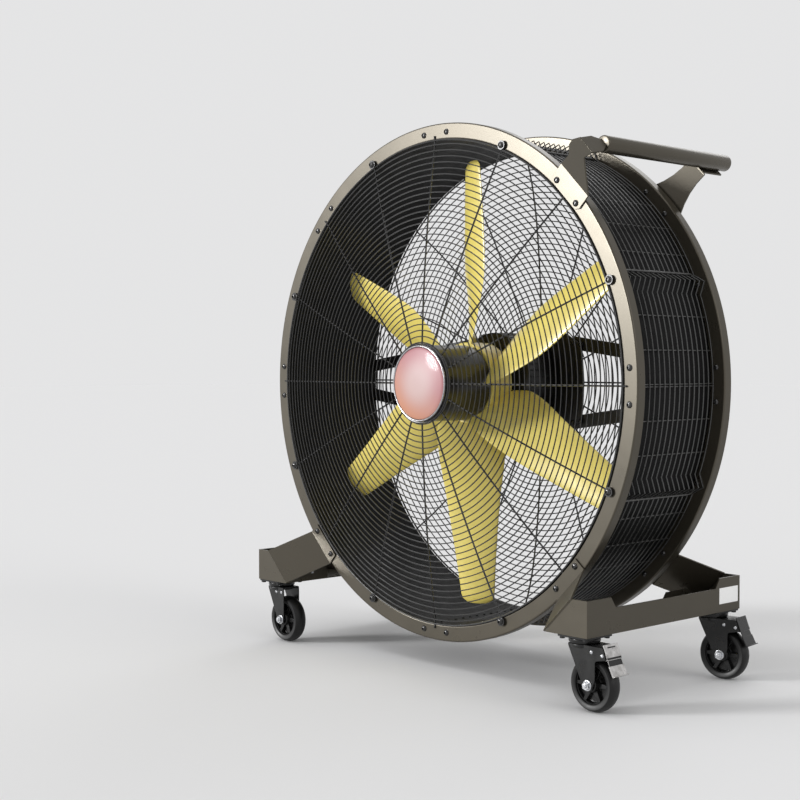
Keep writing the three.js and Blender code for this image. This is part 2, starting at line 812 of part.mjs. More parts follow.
function rail(right) {
  const outer = railOuter;
  const inner = outer - railWidth;
  const top = railBottom + railWebHeight;
  const endTop = railBottom + railEndHeight;
  const endFrom = railHalfLength - railEndLength;
  const cornerCut = railSheet + 0.5; // clears the legs' feet
  const floor = slab([
    [inner, cornerCut - railHalfLength], [inner + cornerCut, -railHalfLength], [outer, -railHalfLength],
    [outer, railHalfLength], [inner + cornerCut, railHalfLength], [inner, railHalfLength - cornerCut],
  ].map(([x, y]) => point(x, y, railBottom)), point(0, 0, 1), railSheet);
  const web = slab([
    [-railHalfLength, railBottom], [railHalfLength, railBottom],
    [railHalfLength, endTop], [endFrom, endTop],
    [endFrom - railStepLength, top], [-endFrom + railStepLength, top],
    [-endFrom, endTop], [-railHalfLength, endTop],
  ].map(([y, z]) => point(outer, y, z)), point(-1, 0, 0), railSheet);
  const pieces = [floor, web];
  for (const end of [-1, 1]) {
    const near = end * railHalfLength;
    const slope = railWidth - railEndHeight;
    const gusset = slab([
      [inner, railBottom], [outer, railBottom], [outer, endTop], [outer - slope, endTop],
    ].map(([x, z]) => point(x, near, z)), point(0, -end, 0), railSheet);
    const webEnd = near - end * innerWebLength;
    const webTop = railBottom + innerWebHeight;
    const clear = near - end * (innerWebHeight + 8); // the leg's plate passes over the web's corner
    const innerWeb = slab([
      [near, railBottom], [webEnd, railBottom], [webEnd, railBottom + innerWebEnd.rise],
      [webEnd + end * innerWebEnd.slope, webTop], [clear, webTop],
      [near - end * cornerCut, railBottom + 2],
    ].map(([y, z]) => point(inner, y, z)), point(1, 0, 0), railSheet);
    pieces.push(gusset, innerWeb);
  }
  const whole = join(...pieces);
  return right > 0 ? whole : mirrored(whole);
}

// A flat leg from a ring's bolt pair to the slanted end of the right rail. end is -1 at the front.
function leg(end) {
  const face = end < 0 ? frontFace - seatGap : drumDepth / 2 + seatGap;
  const high = -legAngle + legHalfAngle;
  const low = -legAngle - legHalfAngle;
  const upper = polar(legChordRadius, high, face);
  const lower = polar(legChordRadius, low, face);
  const footLow = point(railOuter - railWidth, end * (railHalfLength + seatGap), railBottom);
  const footHigh = footLow.clone().add(upper).sub(lower);
  const tabEdge = tabInner / Math.cos(legHalfAngle * degree);
  const inside = end < 0 ? tabEdge : drumRadius - ringSheet - 12;
  const pieces = [
    slab([upper, lower, footLow, footHigh], point(0, end, 0), tabSheet),
    slab([
      polar(inside, high, face), polar(legChordRadius + 1, high, face),
      polar(legChordRadius + 1, low, face), polar(inside, low, face),
    ], point(0, end, 0), tabSheet),
  ];
  if (end > 0) {
    const behind = tabFace;
    pieces.push(
      slab([
        polar(tabEdge, high, behind), polar(inside + tabSheet, high, behind),
        polar(inside + tabSheet, low, behind), polar(tabEdge, low, behind),
      ], point(0, 1, 0), tabSheet),
      slab([
        polar(inside, high, behind), polar(inside, low, behind),
        polar(inside, low, face + tabSheet), polar(inside, high, face + tabSheet),
      ], point(1, 0, -1), tabSheet),
    );
  }
  return join(...pieces);
}

// ---- Casters: built at the floor below their swivel axis, rolling along X ----

const raceTop = railBottom - seatGap - casterPlateThickness;
const raceBottom = raceTop - raceHeight;
const yokeTop = raceBottom - seatGap;
const yokeBottom = yokeTop - forkSheet;

function casterMount() {
  const half = casterPlate / 2;
  const plate = block(point(-half, -half, raceTop), point(half, half, raceTop + casterPlateThickness));
  return join(plate, rodAlong("z", raceRadius, raceBottom, raceTop + 1, 24));
}

const armLow = yokeTop - forkArm.depth;

// A plain leg, or one with an arm that reaches forward to the brake pedal.
function forkLeg(side, braked) {
  const inner = (side * forkInner) / 2;
  const front = casterTrail + forkLegReach.ahead;
  const arm = [
    [forkReach - forkArm.slope, yokeTop], [forkReach, armLow],
    [front, armLow - forkArm.rise], [front, wheelRadius + forkBoss],
  ];
  const outline = [
    [-forkHeel, yokeTop], ...(braked ? arm : [[casterTrail + forkBoss, yokeTop]]),
    [casterTrail + forkBoss, wheelRadius - forkBoss / 2], [casterTrail, wheelRadius - forkBoss],
    [casterTrail - forkBoss, wheelRadius - forkBoss / 2],
    [casterTrail - forkLegReach.behind, wheelRadius + forkBoss], [-forkHeel, yokeBottom - forkSheet],
  ];
  return slab(outline.map(([x, z]) => point(x, inner, z)), point(0, side, 0), forkSheet);
}

function casterFork(braked) {
  const yoke = rodAlong("z", yokeRadius, yokeBottom, yokeTop, 24);
  const body = join(yoke, forkLeg(-1, braked), forkLeg(1, braked));
  const half = forkInner / 2 + forkSheet + 1;
  const hole = rodAlong("y", axleRadius + seatGap, -half, half);
  return cut(body, hole.translate(casterTrail, 0, wheelRadius));
}

function casterWheel() {
  const flat = Math.cos(Math.PI / wheelSegments);
  const rim = wheelRadius / flat;
  const half = wheelWidth / 2;
  const hub = wheelHubWidth / 2;
  const bore = axleRadius + seatGap;
  const web = wheelWidth / 5;
  const side = (sign) => [
    [bore, sign * hub], [wheelHubRadius - 6, sign * hub], [wheelHubRadius, sign * web],
    [rim - tyreWidth.inner, sign * web], [rim - tyreWidth.outer, sign * half],
    [rim - treadBevel, sign * half], [rim, sign * (half - treadBevel)],
  ];
  return revolved([...side(-1), ...side(1).reverse()], wheelSegments, true, Math.PI / wheelSegments)
    .translate(casterTrail, 0, wheelRadius);
}

function casterAxle() {
  const half = forkInner / 2 + forkSheet + seatGap;
  const pin = rodAlong("y", axleRadius, -half - 1, half + 1);
  const head = rodAlong("y", axleHeadRadius, -half - axleHeadHeight, -half, 6);
  const nut = rodAlong("y", axleHeadRadius, half, half + axleHeadHeight, 6);
  return join(pin, head, nut).translate(casterTrail, 0, wheelRadius);
}

// The outline of a sheet that is bent along a line; the sheet lies on the line's left.
function bentSheet(line, sheet) {
  const sides = line.slice(1).map(([x, z], index) => {
    const run = x - line[index][0];
    const climb = z - line[index][1];
    const length = Math.hypot(run, climb);
    return [-climb / length, run / length];
  });
  const outer = line.map(([x, z], index) => {
    const before = sides[Math.max(index - 1, 0)];
    const after = sides[Math.min(index, sides.length - 1)];
    const sum = [before[0] + after[0], before[1] + after[1]];
    const scale = (2 * sheet) / (sum[0] ** 2 + sum[1] ** 2);
    return [x + sum[0] * scale, z + sum[1] * scale];
  });
  return [...line, ...outer.reverse()];
}

// A strip before the front edges of the fork's arms. It tilts about the arms' lower front corners.
function brakePedal() {
  const half = pedalWidth / 2;
  const edge = Math.hypot(forkArm.slope, forkArm.depth);
  const down = [forkArm.slope / edge, -forkArm.depth / edge];
  const seat = [seatGap * -down[1], seatGap * down[0]];
  const corner = [forkReach + seat[0], armLow + seat[1]];
  const bend = [corner[0] + down[0] * pedalFlat, corner[1] + down[1] * pedalFlat];
  const top = [corner[0] - down[0] * (edge + pedalRise), corner[1] - down[1] * (edge + pedalRise)];
  const toe = [bend[0] + pedalToe.ahead, bend[1] - pedalToe.drop];
  const tip = [toe[0] + pedalLip.ahead, toe[1] + pedalLip.rise];
  const outline = bentSheet([top, bend, toe, tip], pedalSheet);
  return slab(outline.map(([x, z]) => point(x, -half, z)), point(0, 1, 0), pedalWidth);
}

function caster(name, x, y) {
  const braked = x > 0;
  const place = new THREE.Group();
  place.position.set(x, y, 0);
  addPart("caster_mount_" + name, casterMount(), black, place);
  const turned = new THREE.Group();
  turned.rotation.z = casterHeadings[name] * degree;
  addPart("caster_fork_" + name, casterFork(braked), black, turned);
  addPart("caster_wheel_" + name, casterWheel(), tyre, turned);
  addPart("caster_axle_" + name, casterAxle(), zinc, turned);
  if (braked) addPart("brake_pedal_" + name, brakePedal(), y < 0 ? zinc : black, turned);
  place.add(turned);
  fan.add(place);
}

// ---- Assembly ----

addPart("front_ring", endRing(frontFace, true), steel);
addPart("rear_ring", endRing(rearFace, false), steel);
addPart("drum_shell", drumShell(), black);
addPart("front_guard", guard(frontFace, -1, frontRise, guardHole), wire);
addPart("rear_guard", rearGuardSolid(), wire);
for (let panel = 0; panel < cagePanels; panel++) {
  addPart("side_cage_" + (panel + 1), cagePanel(panel), wire);
}

addPart("nose_sleeve", noseSleeve(), black);
addPart("badge", badgeDisc(), red);
addPart("badge_trim", badgeTrim(), zinc);

addPart("impeller_hub", impellerHub(), yellow);
for (let number = 0; number < bladeCount; number++) {
  addPart("blade_" + (number + 1), blade(number), yellow);
}

addPart("motor_shield", motorShield(), black);
addPart("motor_housing", motorHousing(), black);
addPart("terminal_box", terminalBox(), black);
addPart("cable_gland", cableGland(), black);
addPart("motor_stator", motorStator(), zinc);
addPart("motor_rotor", motorRotor(), zinc);
addPart("bearing_front", bearing(shaftRadius + seatGap, shieldFront - shieldNose.height), zinc);
addPart("bearing_rear", bearing(
  shaftRadius - shaftStep + seatGap,
  housingBack - housingEnd - seatGap - bearingWidth,
), zinc);
addPart("motor_plate", motorPlate(), steel);
for (const [side, right] of [["right", 1], ["left", -1]]) {
  for (const [level, up] of [["upper", 1], ["lower", -1]]) {
    addPart("motor_arm_" + level + "_" + side, motorArm(right, up), wire);
  }
}

addPart("handle_tube", handleTube(), steel);
addPart("handle_bracket_front", frontBracket(), steel);
addPart("handle_bracket_rear", rearBracket(), steel);

for (const [side, right] of [["right", 1], ["left", -1]]) {
  addPart("base_rail_" + side, rail(right), steel);
  for (const [end, back] of [["front", -1], ["rear", 1]]) {
    const shape = leg(back);
    addPart("leg_" + end + "_" + side, right > 0 ? shape : mirrored(shape), steel);
    const swivelX = right * (railOuter - casterInset - casterPlate / 2);
    caster(end + "_" + side, swivelX, back * (railHalfLength - casterPlate / 2));
  }
}

export default fan;
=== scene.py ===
import math
from math import cos, pi, radians, sin, tau

import bmesh
import bpy
from mathutils import Matrix, Vector


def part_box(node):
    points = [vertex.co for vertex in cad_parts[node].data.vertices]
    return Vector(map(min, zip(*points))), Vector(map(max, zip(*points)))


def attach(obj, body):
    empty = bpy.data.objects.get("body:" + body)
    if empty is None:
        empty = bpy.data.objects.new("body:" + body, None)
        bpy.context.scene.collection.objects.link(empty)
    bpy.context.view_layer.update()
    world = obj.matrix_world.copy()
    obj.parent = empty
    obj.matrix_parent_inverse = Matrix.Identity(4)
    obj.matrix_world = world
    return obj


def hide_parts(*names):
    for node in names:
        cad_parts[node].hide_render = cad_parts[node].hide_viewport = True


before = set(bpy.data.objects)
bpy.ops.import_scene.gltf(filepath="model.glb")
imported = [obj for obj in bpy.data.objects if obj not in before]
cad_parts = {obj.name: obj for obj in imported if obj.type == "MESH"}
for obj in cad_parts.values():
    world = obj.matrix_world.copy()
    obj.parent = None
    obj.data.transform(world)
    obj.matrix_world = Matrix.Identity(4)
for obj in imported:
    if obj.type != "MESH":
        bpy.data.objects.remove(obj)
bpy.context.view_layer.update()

# Metres. The part's own sizes, as in its source.
AXIS = 0.718
DRUM = 0.650
BORE = 0.609
SHEET = 0.003
FRONT = -0.174
REAR = 0.148
LIP = 0.026
BOLT_CIRCLE = 0.6275
BOLT_HALF = 3.73  # degrees from a pair's middle to each of its bolts
GUARD_HUB = 0.0993
CAGE = 0.6185
RAIL_OUT = 0.600
RAIL_IN = 0.476
RAIL_LOW = 0.169

Y_UP = Matrix.Rotation(radians(90), 4, "X")  # turns local Y up, or a prism's local Z sideways


# ---- Materials ----

GRAIN = 0.0003  # height of a coat's fine grain
NOISE_LOW, NOISE_HIGH = 0.3, 0.7  # most of a noise texture's values lie between these


def shader(name, color, rough, metal=0.0, coat=0.0, spec=0.5):
    mat = bpy.data.materials.new(name)
    mat.use_nodes = True
    nodes = mat.node_tree.nodes
    bsdf = nodes["Principled BSDF"]
    bsdf.inputs["Base Color"].default_value = (*color, 1)
    bsdf.inputs["Roughness"].default_value = rough
    bsdf.inputs["Metallic"].default_value = metal
    bsdf.inputs["Coat Weight"].default_value = coat
    bsdf.inputs["Coat Roughness"].default_value = 0.08
    bsdf.inputs["Specular IOR Level"].default_value = spec
    return mat, nodes, mat.node_tree.links, bsdf


def noise(nodes, links, scale, detail, rough):
    coord = nodes.new("ShaderNodeTexCoord")
    tex = nodes.new("ShaderNodeTexNoise")
    tex.inputs["Scale"].default_value = scale
    tex.inputs["Detail"].default_value = detail
    tex.inputs["Roughness"].default_value = rough
    links.new(coord.outputs["Object"], tex.inputs["Vector"])
    return tex


def ramp(nodes, links, source, stops):
    node = nodes.new("ShaderNodeValToRGB")
    while len(node.color_ramp.elements) < len(stops):
        node.color_ramp.elements.new(0.5)
    for element, (place, color) in zip(node.color_ramp.elements, stops):
        element.position = place
        element.color = (*color, 1)
    links.new(source, node.inputs["Fac"])
    return node


def vary(nodes, links, bsdf, scale, low, high):
    """Lets the colour drift between two tones."""
    tex = noise(nodes, links, scale, 4.0, 0.55)
    tone = ramp(nodes, links, tex.outputs["Fac"], [(NOISE_LOW, low), (NOISE_HIGH, high)])
    links.new(tone.outputs["Color"], bsdf.inputs["Base Color"])


def rough_range(nodes, links, bsdf, scale, low, high):
    tex = noise(nodes, links, scale, 3.0, 0.6)
    node = nodes.new("ShaderNodeMapRange")
    node.inputs["From Min"].default_value = NOISE_LOW
    node.inputs["From Max"].default_value = NOISE_HIGH
    node.inputs["To Min"].default_value = low
    node.inputs["To Max"].default_value = high
    links.new(tex.outputs["Fac"], node.inputs["Value"])
    links.new(node.outputs["Result"], bsdf.inputs["Roughness"])


def bump(nodes, links, bsdf, scale, strength, distance=GRAIN, detail=2.0):
    tex = noise(nodes, links, scale, detail, 0.5)
    node = nodes.new("ShaderNodeBump")
    node.inputs["Strength"].default_value = strength
    node.inputs["Distance"].default_value = distance
    links.new(tex.outputs["Fac"], node.inputs["Height"])
    links.new(node.outputs["Normal"], bsdf.inputs["Normal"])


def powder_coat():
    mat, nodes, links, bsdf = shader("gunmetal_paint", (0.082, 0.072, 0.054), 0.29, 0.55)
    vary(nodes, links, bsdf, 5.0, (0.078, 0.069, 0.052), (0.087, 0.076, 0.057))
    rough_range(nodes, links, bsdf, 18.0, 0.27, 0.30)
    bump(nodes, links, bsdf, 900.0, 0.05)
    return mat


def black_wire():
    mat, nodes, links, bsdf = shader("black_wire", (0.026, 0.026, 0.026), 0.22, 0.35, 0.0, 0.9)
    vary(nodes, links, bsdf, 30.0, (0.020, 0.020, 0.020), (0.034, 0.033, 0.033))
    rough_range(nodes, links, bsdf, 200.0, 0.18, 0.28)
    bump(nodes, links, bsdf, 700.0, 0.08)
    return mat


def cage_wire():
    """The side cage's wires: a thinner coat than the guards', painted greyer than their black wire as a
    sheen for the highlights along the hoops.
    """
    mat, nodes, links, bsdf = shader("cage_wire", (0.045, 0.045, 0.044), 0.3, 0.0, 0.0, 0.8)
    vary(nodes, links, bsdf, 30.0, (0.036, 0.036, 0.035), (0.056, 0.055, 0.053))
    rough_range(nodes, links, bsdf, 200.0, 0.24, 0.36)
    bump(nodes, links, bsdf, 700.0, 0.08)
    return mat


def black_paint(name, low, high, rough_low, rough_high, coat=0.0, spec=0.5):
    mat, nodes, links, bsdf = shader(name, low, rough_low, 0.0, coat, spec)
    vary(nodes, links, bsdf, 12.0, low, high)
    rough_range(nodes, links, bsdf, 40.0, rough_low, rough_high)
    bump(nodes, links, bsdf, 500.0, 0.05)
    return mat


def zinc(name, low, high, rough):
    mat, nodes, links, bsdf = shader(name, high, rough, 1.0)
    vary(nodes, links, bsdf, 90.0, low, high)
    rough_range(nodes, links, bsdf, 160.0, rough, rough + 0.12)
    bump(nodes, links, bsdf, 400.0, 0.06, GRAIN, 4.0)
    return mat


def blade_yellow():
    mat, nodes, links, bsdf = shader("blade_yellow", (0.89, 0.73, 0.18), 0.34, 0.0, 0.3)
    vary(nodes, links, bsdf, 3.0, (0.875, 0.715, 0.165), (0.905, 0.755, 0.195))
    rough_range(nodes, links, bsdf, 35.0, 0.30, 0.42)
    bump(nodes, links, bsdf, 260.0, 0.03, 0.0004)
    return mat


def vector_math(nodes, links, operation, source, other=None):
    node = nodes.new("ShaderNodeVectorMath")
    node.operation = operation
    links.new(source, node.inputs[0])
    if other:
        node.inputs[1].default_value = other
    return node


def badge_gradient():
    """Dusky red at the upper right, orange at the lower left, and paler towards the middle, where a
    broad highlight is painted.
    """
    mat, nodes, links, bsdf = shader("badge_red", (0.75, 0.25, 0.25), 0.42, 0.0, 0.12)
    place = nodes.new("ShaderNodeTexCoord").outputs["Object"]
    centred = vector_math(nodes, links, "SUBTRACT", place, (0, 0, AXIS)).outputs["Vector"]
    across = vector_math(nodes, links, "DOT_PRODUCT", centred, (0.55, 0, 0.83))
    node = nodes.new("ShaderNodeMapRange")
    node.inputs["From Min"].default_value = -0.085
    node.inputs["From Max"].default_value = 0.085
    links.new(across.outputs["Value"], node.inputs["Value"])
    stops = [(0.0, (0.50, 0.22, 0.13)), (0.35, (0.46, 0.22, 0.18)), (0.65, (0.38, 0.15, 0.16)),
             (1.0, (0.29, 0.07, 0.09))]
    color = ramp(nodes, links, node.outputs["Result"], stops)
    flat = vector_math(nodes, links, "MULTIPLY", centred, (1, 0, 1))
    radius = vector_math(nodes, links, "LENGTH", flat.outputs["Vector"])
    # Painted highlight: the badge pales towards its middle, standing for a broad shine.
    painted_highlight = nodes.new("ShaderNodeMapRange")
    painted_highlight.interpolation_type = "SMOOTHSTEP"
    painted_highlight.inputs["From Min"].default_value = 0.082
    painted_highlight.inputs["From Max"].default_value = 0.020
    painted_highlight.inputs["To Max"].default_value = 0.75
    links.new(radius.outputs["Value"], painted_highlight.inputs["Value"])
    mix = nodes.new("ShaderNodeMix")
    mix.data_type = "RGBA"
    mix.inputs[7].default_value = (0.50, 0.37, 0.36, 1)  # socket B for colours
    links.new(painted_highlight.outputs["Result"], mix.inputs[0])
    links.new(color.outputs["Color"], mix.inputs[6])  # socket A for colours
    links.new(mix.outputs[2], bsdf.inputs["Base Color"])
    bump(nodes, links, bsdf, 240.0, 0.02)
    return mat


def label_white():
    mat, nodes, links, bsdf = shader("label_white", (0.93, 0.93, 0.92), 0.35)
    # The label glows a little: painted light that keeps it bright on the side the lamps light weakly.
    bsdf.inputs["Emission Color"].default_value = (1, 1, 1, 1)
    bsdf.inputs["Emission Strength"].default_value = 0.14
    vary(nodes, links, bsdf, 40.0, (0.92, 0.92, 0.91), (0.95, 0.95, 0.94))
    bump(nodes, links, bsdf, 300.0, 0.03, 0.0002)
    return mat


PAINT = powder_coat()
WIRE = black_wire()
CAGE_WIRE = cage_wire()
# Name, the two tones, the two roughnesses, coat and specular level
NOSE = black_paint("nose_black", (0.008, 0.008, 0.009), (0.014, 0.014, 0.015), 0.26, 0.34, 0.25, 0.6)
DUCT = black_paint("duct_black", (0.003, 0.003, 0.003), (0.006, 0.006, 0.006), 0.55, 0.65, 0.0, 0.15)
MOTOR = black_paint("motor_black", (0.008, 0.008, 0.009), (0.016, 0.016, 0.017), 0.28, 0.40)
CASTER = black_paint("caster_black", (0.005, 0.005, 0.005), (0.009, 0.009, 0.009), 0.24, 0.34, 0.1, 0.35)
TYRE = black_paint("caster_wheel", (0.004, 0.004, 0.004), (0.008, 0.008, 0.008), 0.38, 0.50, 0.0, 0.35)
# Name, the two tones and the lower roughness
ZINC = zinc("zinc", (0.52, 0.53, 0.55), (0.72, 0.73, 0.75), 0.22)
PEDAL = zinc("pedal_zinc", (0.36, 0.35, 0.34), (0.62, 0.61, 0.60), 0.26)
SILVER = zinc("badge_silver", (0.30, 0.29, 0.30), (0.42, 0.41, 0.42), 0.16)
STEEL = zinc("core_steel", (0.34, 0.34, 0.35), (0.50, 0.50, 0.52), 0.3)
YELLOW = blade_yellow()
BADGE = badge_gradient()
LABEL = label_white()


# ---- Mesh building ----

class Shape:
    """Vertices and faces of one piece, gathered from simple swept forms."""

    def __init__(self):
        self.verts = []
        self.faces = []

    def add(self, verts, faces, matrix=None):
        start = len(self.verts)
        verts = [Vector(v) for v in verts]
        self.verts += [matrix @ v for v in verts] if matrix else verts
        self.faces += [tuple(start + i for i in face) for face in faces]
        return self

    def grid(self, rows, close_u=False, close_v=False, matrix=None):
        n, m = len(rows), len(rows[0])
        verts = [p for row in rows for p in row]
        faces = []
        for i in range(n if close_u else n - 1):
            for j in range(m if close_v else m - 1):
                a, b = i * m + j, i * m + (j + 1) % m
                c, d = ((i + 1) % n) * m + (j + 1) % m, ((i + 1) % n) * m + j
                faces.append((a, b, c, d))
        return self.add(verts, faces, matrix)

    def lathe(self, profile, segments, matrix=None, closed=True):
        """Turns (radius, height) corners round the local Y axis."""
        rows = []
        for i in range(segments):
            t = tau * i / segments
            rows.append([(r * cos(t), y, r * sin(t)) for r, y in profile])
        return self.grid(rows, close_u=True, close_v=closed, matrix=matrix)

    def tube(self, points, radius, sides=6, closed=False):
        points = [Vector(p) for p in points]
        n = len(points)
        rows = []
        across = None
        for i, p in enumerate(points):
            before = points[i - 1] if i or closed else points[0]
            after = points[(i + 1) % n] if i < n - 1 or closed else points[-1]
            along = (after - before).normalized()
            if across is None:
                across = Vector((0, 1, 0)) if abs(along.y) < 0.8 else Vector((0, 0, 1))
            across = (across - along * across.dot(along)).normalized()
            side = along.cross(across)
            rows.append([p + (across * cos(tau * k / sides) + side * sin(tau * k / sides)) * radius
                         for k in range(sides)])
        self.grid(rows, close_u=closed, close_v=True)
        if not closed:
            self.add(rows[0], [tuple(range(sides))])
            self.add(rows[-1], [tuple(reversed(range(sides)))])
        return self

    def prism(self, outline, low, high, matrix=None):
        """A flat outline of (x, y) corners, from local z = low to high."""
        n = len(outline)
        verts = [(x, y, low) for x, y in outline] + [(x, y, high) for x, y in outline]
        faces = [tuple(reversed(range(n))), tuple(range(n, 2 * n))]
        faces += [(i, (i + 1) % n, n + (i + 1) % n, n + i) for i in range(n)]
        return self.add(verts, faces, matrix)

    def block(self, low, high, matrix=None):
        (x0, y0, z0), (x1, y1, z1) = low, high
        return self.prism([(x0, y0), (x1, y0), (x1, y1), (x0, y1)], z0, z1, matrix)


def piece(shape, name, material, body="frame", bevel=0.0, segments=2, smooth=35, on=()):
    """Makes a shape an object that rides on a body, and stands for the nodes that it is on."""
    mesh = bpy.data.meshes.new(name)
    mesh.from_pydata([tuple(v) for v in shape.verts], [], shape.faces)
    bm = bmesh.new()
    bm.from_mesh(mesh)
    bmesh.ops.remove_doubles(bm, verts=bm.verts, dist=1e-6)
    bmesh.ops.recalc_face_normals(bm, faces=bm.faces)
    bm.to_mesh(mesh)
    bm.free()
    mesh.polygons.foreach_set("use_smooth", [True] * len(mesh.polygons))
    mesh.set_sharp_from_angle(angle=radians(smooth))
    obj = bpy.data.objects.new(name, mesh)
    bpy.context.collection.objects.link(obj)
    mesh.materials.append(material)
    if bevel:
        rounded(obj, bevel, segments)
    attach(obj, body)
    if on:
        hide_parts(*on)


def rounded(obj, width, segments=2):
    mod = obj.modifiers.new("edges", "BEVEL")
    mod.width = width
    mod.segments = segments
    mod.limit_method = "ANGLE"
    mod.angle_limit = radians(30)


def dress(node, material, width=0.0):
    """Gives a CAD node that stays in view its material, and rounds its folded edges."""
    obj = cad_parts[node]
    obj.data.materials.clear()
    obj.data.materials.append(material)
    if width:
        weld = obj.modifiers.new("weld", "WELD")
        weld.merge_threshold = 1e-5
        rounded(obj, width)


def polar(radius, degrees, y):
    t = radians(degrees)
    return Vector((radius * cos(t), y, radius * sin(t) + AXIS))


ON_AXIS = Matrix.Translation((0, 0, AXIS))


def facing(place, out, up=(0, 0, 1)):
    """A frame at place whose local -Y points out of the surface."""
    y = -Vector(out).normalized()
    up = Vector(up)
    z = (up - y * up.dot(y))
    z = z.normalized() if z.length > 1e-4 else Vector((1, 0, 0))
    x = y.cross(z)
    matrix = Matrix((x, y, z)).transposed().to_4x4()
    matrix.translation = Vector(place)
    return matrix


def facing_front(place):
    return facing(place, (0, -1, 0))


def arc(centre, radius, start, stop, steps):
    cx, cy = centre
    angles = [radians(start + (stop - start) * i / steps) for i in range(steps + 1)]
    return [(cx + radius * cos(a), cy + radius * sin(a)) for a in angles]


WASHER = 0.0016  # thickness


def button_head(shape, matrix, radius, height, washer=0.0):
    """A round-headed bolt with a socket, on an optional washer of that radius."""
    base = 0.0
    if washer:
        base = -WASHER
        shape.lathe([(0, 0), (washer, 0), (washer, base + 0.0004), (washer - 0.0004, base), (0, base)],
                    24, matrix, closed=False)
    dome = [(0, base), (radius, base)]
    for i in range(5):
        rise = sin(radians(90 * i / 5))
        dome.append((radius * (0.98 - 0.42 * rise), base - height * (0.25 + 0.75 * rise)))
    top = base - height
    floor = top + height * 0.5
    dome += [(radius * 0.46, top), (radius * 0.42, floor), (0, floor)]
    shape.lathe(dome, 18, matrix, closed=False)


def hex_nut(shape, matrix, across, height, bolt):
    """A nut of a width across its flats, with the end of its bolt."""
    r = across / 2 / cos(pi / 6)
    outline = [(r * cos(tau * k / 6), r * sin(tau * k / 6)) for k in range(6)]
    shape.prism(outline, 0, height, matrix @ Y_UP)
    end, chamfer = -height - 0.0038, 0.0008
    shape.lathe([(0, 0), (bolt, 0), (bolt, end + chamfer), (bolt - chamfer, end), (0, end)],
                14, matrix, closed=False)


# ---- Drum rings ----

FOLD = 0.0035  # outer radius of the fold between a ring's face and its lip
HEM = 0.004  # outer radius of the front ring's hem
HEM_DEPTH = 0.008
SOFT = 0.001  # a softened edge, or the short flat beside a fold that keeps the faces flat


def ring_profile(face, hem):
    fold = (DRUM - FOLD, face + FOLD)
    back = face + LIP
    profile = [(DRUM - FOLD - SOFT, face)] + arc(fold, FOLD, -90, 0, 5)
    profile += [(DRUM, face + FOLD + SOFT), (DRUM, back - SOFT), (DRUM - SOFT, back),
                (DRUM - SHEET + SOFT, back), (DRUM - SHEET, back - SOFT)]
    profile += arc(fold, FOLD - SHEET, 0, -90, 5)
    if hem:
        end = face + HEM_DEPTH
        profile += [(BORE + HEM, face + SHEET), (BORE + SHEET, face + HEM + SOFT),
                    (BORE + SHEET, end - 0.0005), (BORE + 0.0022, end), (BORE + 0.0008, end),
                    (BORE, end - 0.0005)]
        profile += arc((BORE + HEM, face + HEM), HEM, 180, 270, 4) + [(BORE + HEM + SOFT, face)]
    else:
        profile += [(BORE + SOFT, face + SHEET), (BORE, face + 0.0022), (BORE, face + 0.0008),
                    (BORE + SOFT, face)]
    return profile


def drum_ring(name, face, hem):
    shape = Shape().lathe(ring_profile(face, hem), 256, ON_AXIS)
    piece(shape, name + "_sheet", PAINT, on=[name])


SHELL = (0.6075, 0.6087)  # inner and outer radius
SHELL_RIVETS = 12
SHELL_MARGIN = 0.022  # from the shell's edges to its outer rivets


def drum_shell():
    """The plain black duct inside the rings, with a riveted seam at the bottom."""
    lo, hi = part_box("drum_shell")
    inner, outer = SHELL
    profile = [(inner, lo.y + 0.0006), (inner + 0.0006, lo.y), (outer, lo.y + 0.0004),
               (outer, hi.y - 0.0004), (inner + 0.0006, hi.y), (inner, hi.y - 0.0006)]
    shape = Shape().lathe(profile, 256, ON_AXIS)
    piece(shape, "drum_shell_sheet", DUCT, on=["drum_shell"])
    seam = Shape()
    length = hi.y - lo.y - 2 * SHELL_MARGIN
    for k in range(SHELL_RIVETS):
        place = polar(inner, 270, lo.y + SHELL_MARGIN + length * k / (SHELL_RIVETS - 1))
        button_head(seam, facing(place, (0, 0, 1), (0, 1, 0)), 0.0042, 0.0022)
    piece(seam, "drum_shell_rivets", DUCT)


REAR_BOLT_CIRCLE = 0.6265
FRONT_BOLT = (0.0078, 0.0052)  # a head's radius and height
REAR_BOLT = (0.0068, 0.0045)
FLANGE_LIFT = 0.0045  # a flange on the front of the ring lifts its bolts this far
FLANGE_PAIRS = (1, 5, 7)  # on the handle's bracket and the two front legs


def ring_bolts():
    front, back = Shape(), Shape()
    for k in range(8):
        for side in (-1, 1):
            angle = 45 * k + side * BOLT_HALF
            lift = FLANGE_LIFT if k in FLANGE_PAIRS else 0.0
            button_head(front, facing_front(polar(BOLT_CIRCLE, angle, FRONT - lift)), *FRONT_BOLT)
            button_head(back, facing_front(polar(REAR_BOLT_CIRCLE, angle, REAR)), *REAR_BOLT)
    piece(front, "front_ring_bolts", WIRE)
    piece(back, "rear_ring_bolts", WIRE)


# ---- Guards ----

FINE_WIRE = 0.00155  # radius of the guards' rings and the cage's hoops
GUARD_RINGS = 34
RING_PITCH = 0.0150
FIRST_RING = 0.003  # from the hub's band
RIM = (0.6085, 0.0024)  # radius of the rim, and of its wire
SPOKES = 16
SPOKE_WIRE = 0.0022
SPOKE_STEPS = 39
SPOKE_STOPS = (0.620, 0.612)  # radius where a spoke ends, at its eyelet or between
SPOKE_DEPTH = 0.0035  # from the rings' wires to the spokes
SPOKE_RUN_OUT = (0.600, 0.612)  # radii between which that depth falls to nothing


def front_y(radius):
    return FRONT - 0.0022 - 0.047 * (1 - min(1.0, radius / BORE) ** 2)


def rear_y(radius):
    out = min(1.0, radius / BORE)
    return 0.1576 + 0.045 * (1 - out ** 2) + 0.025 * (1 - out ** 8)


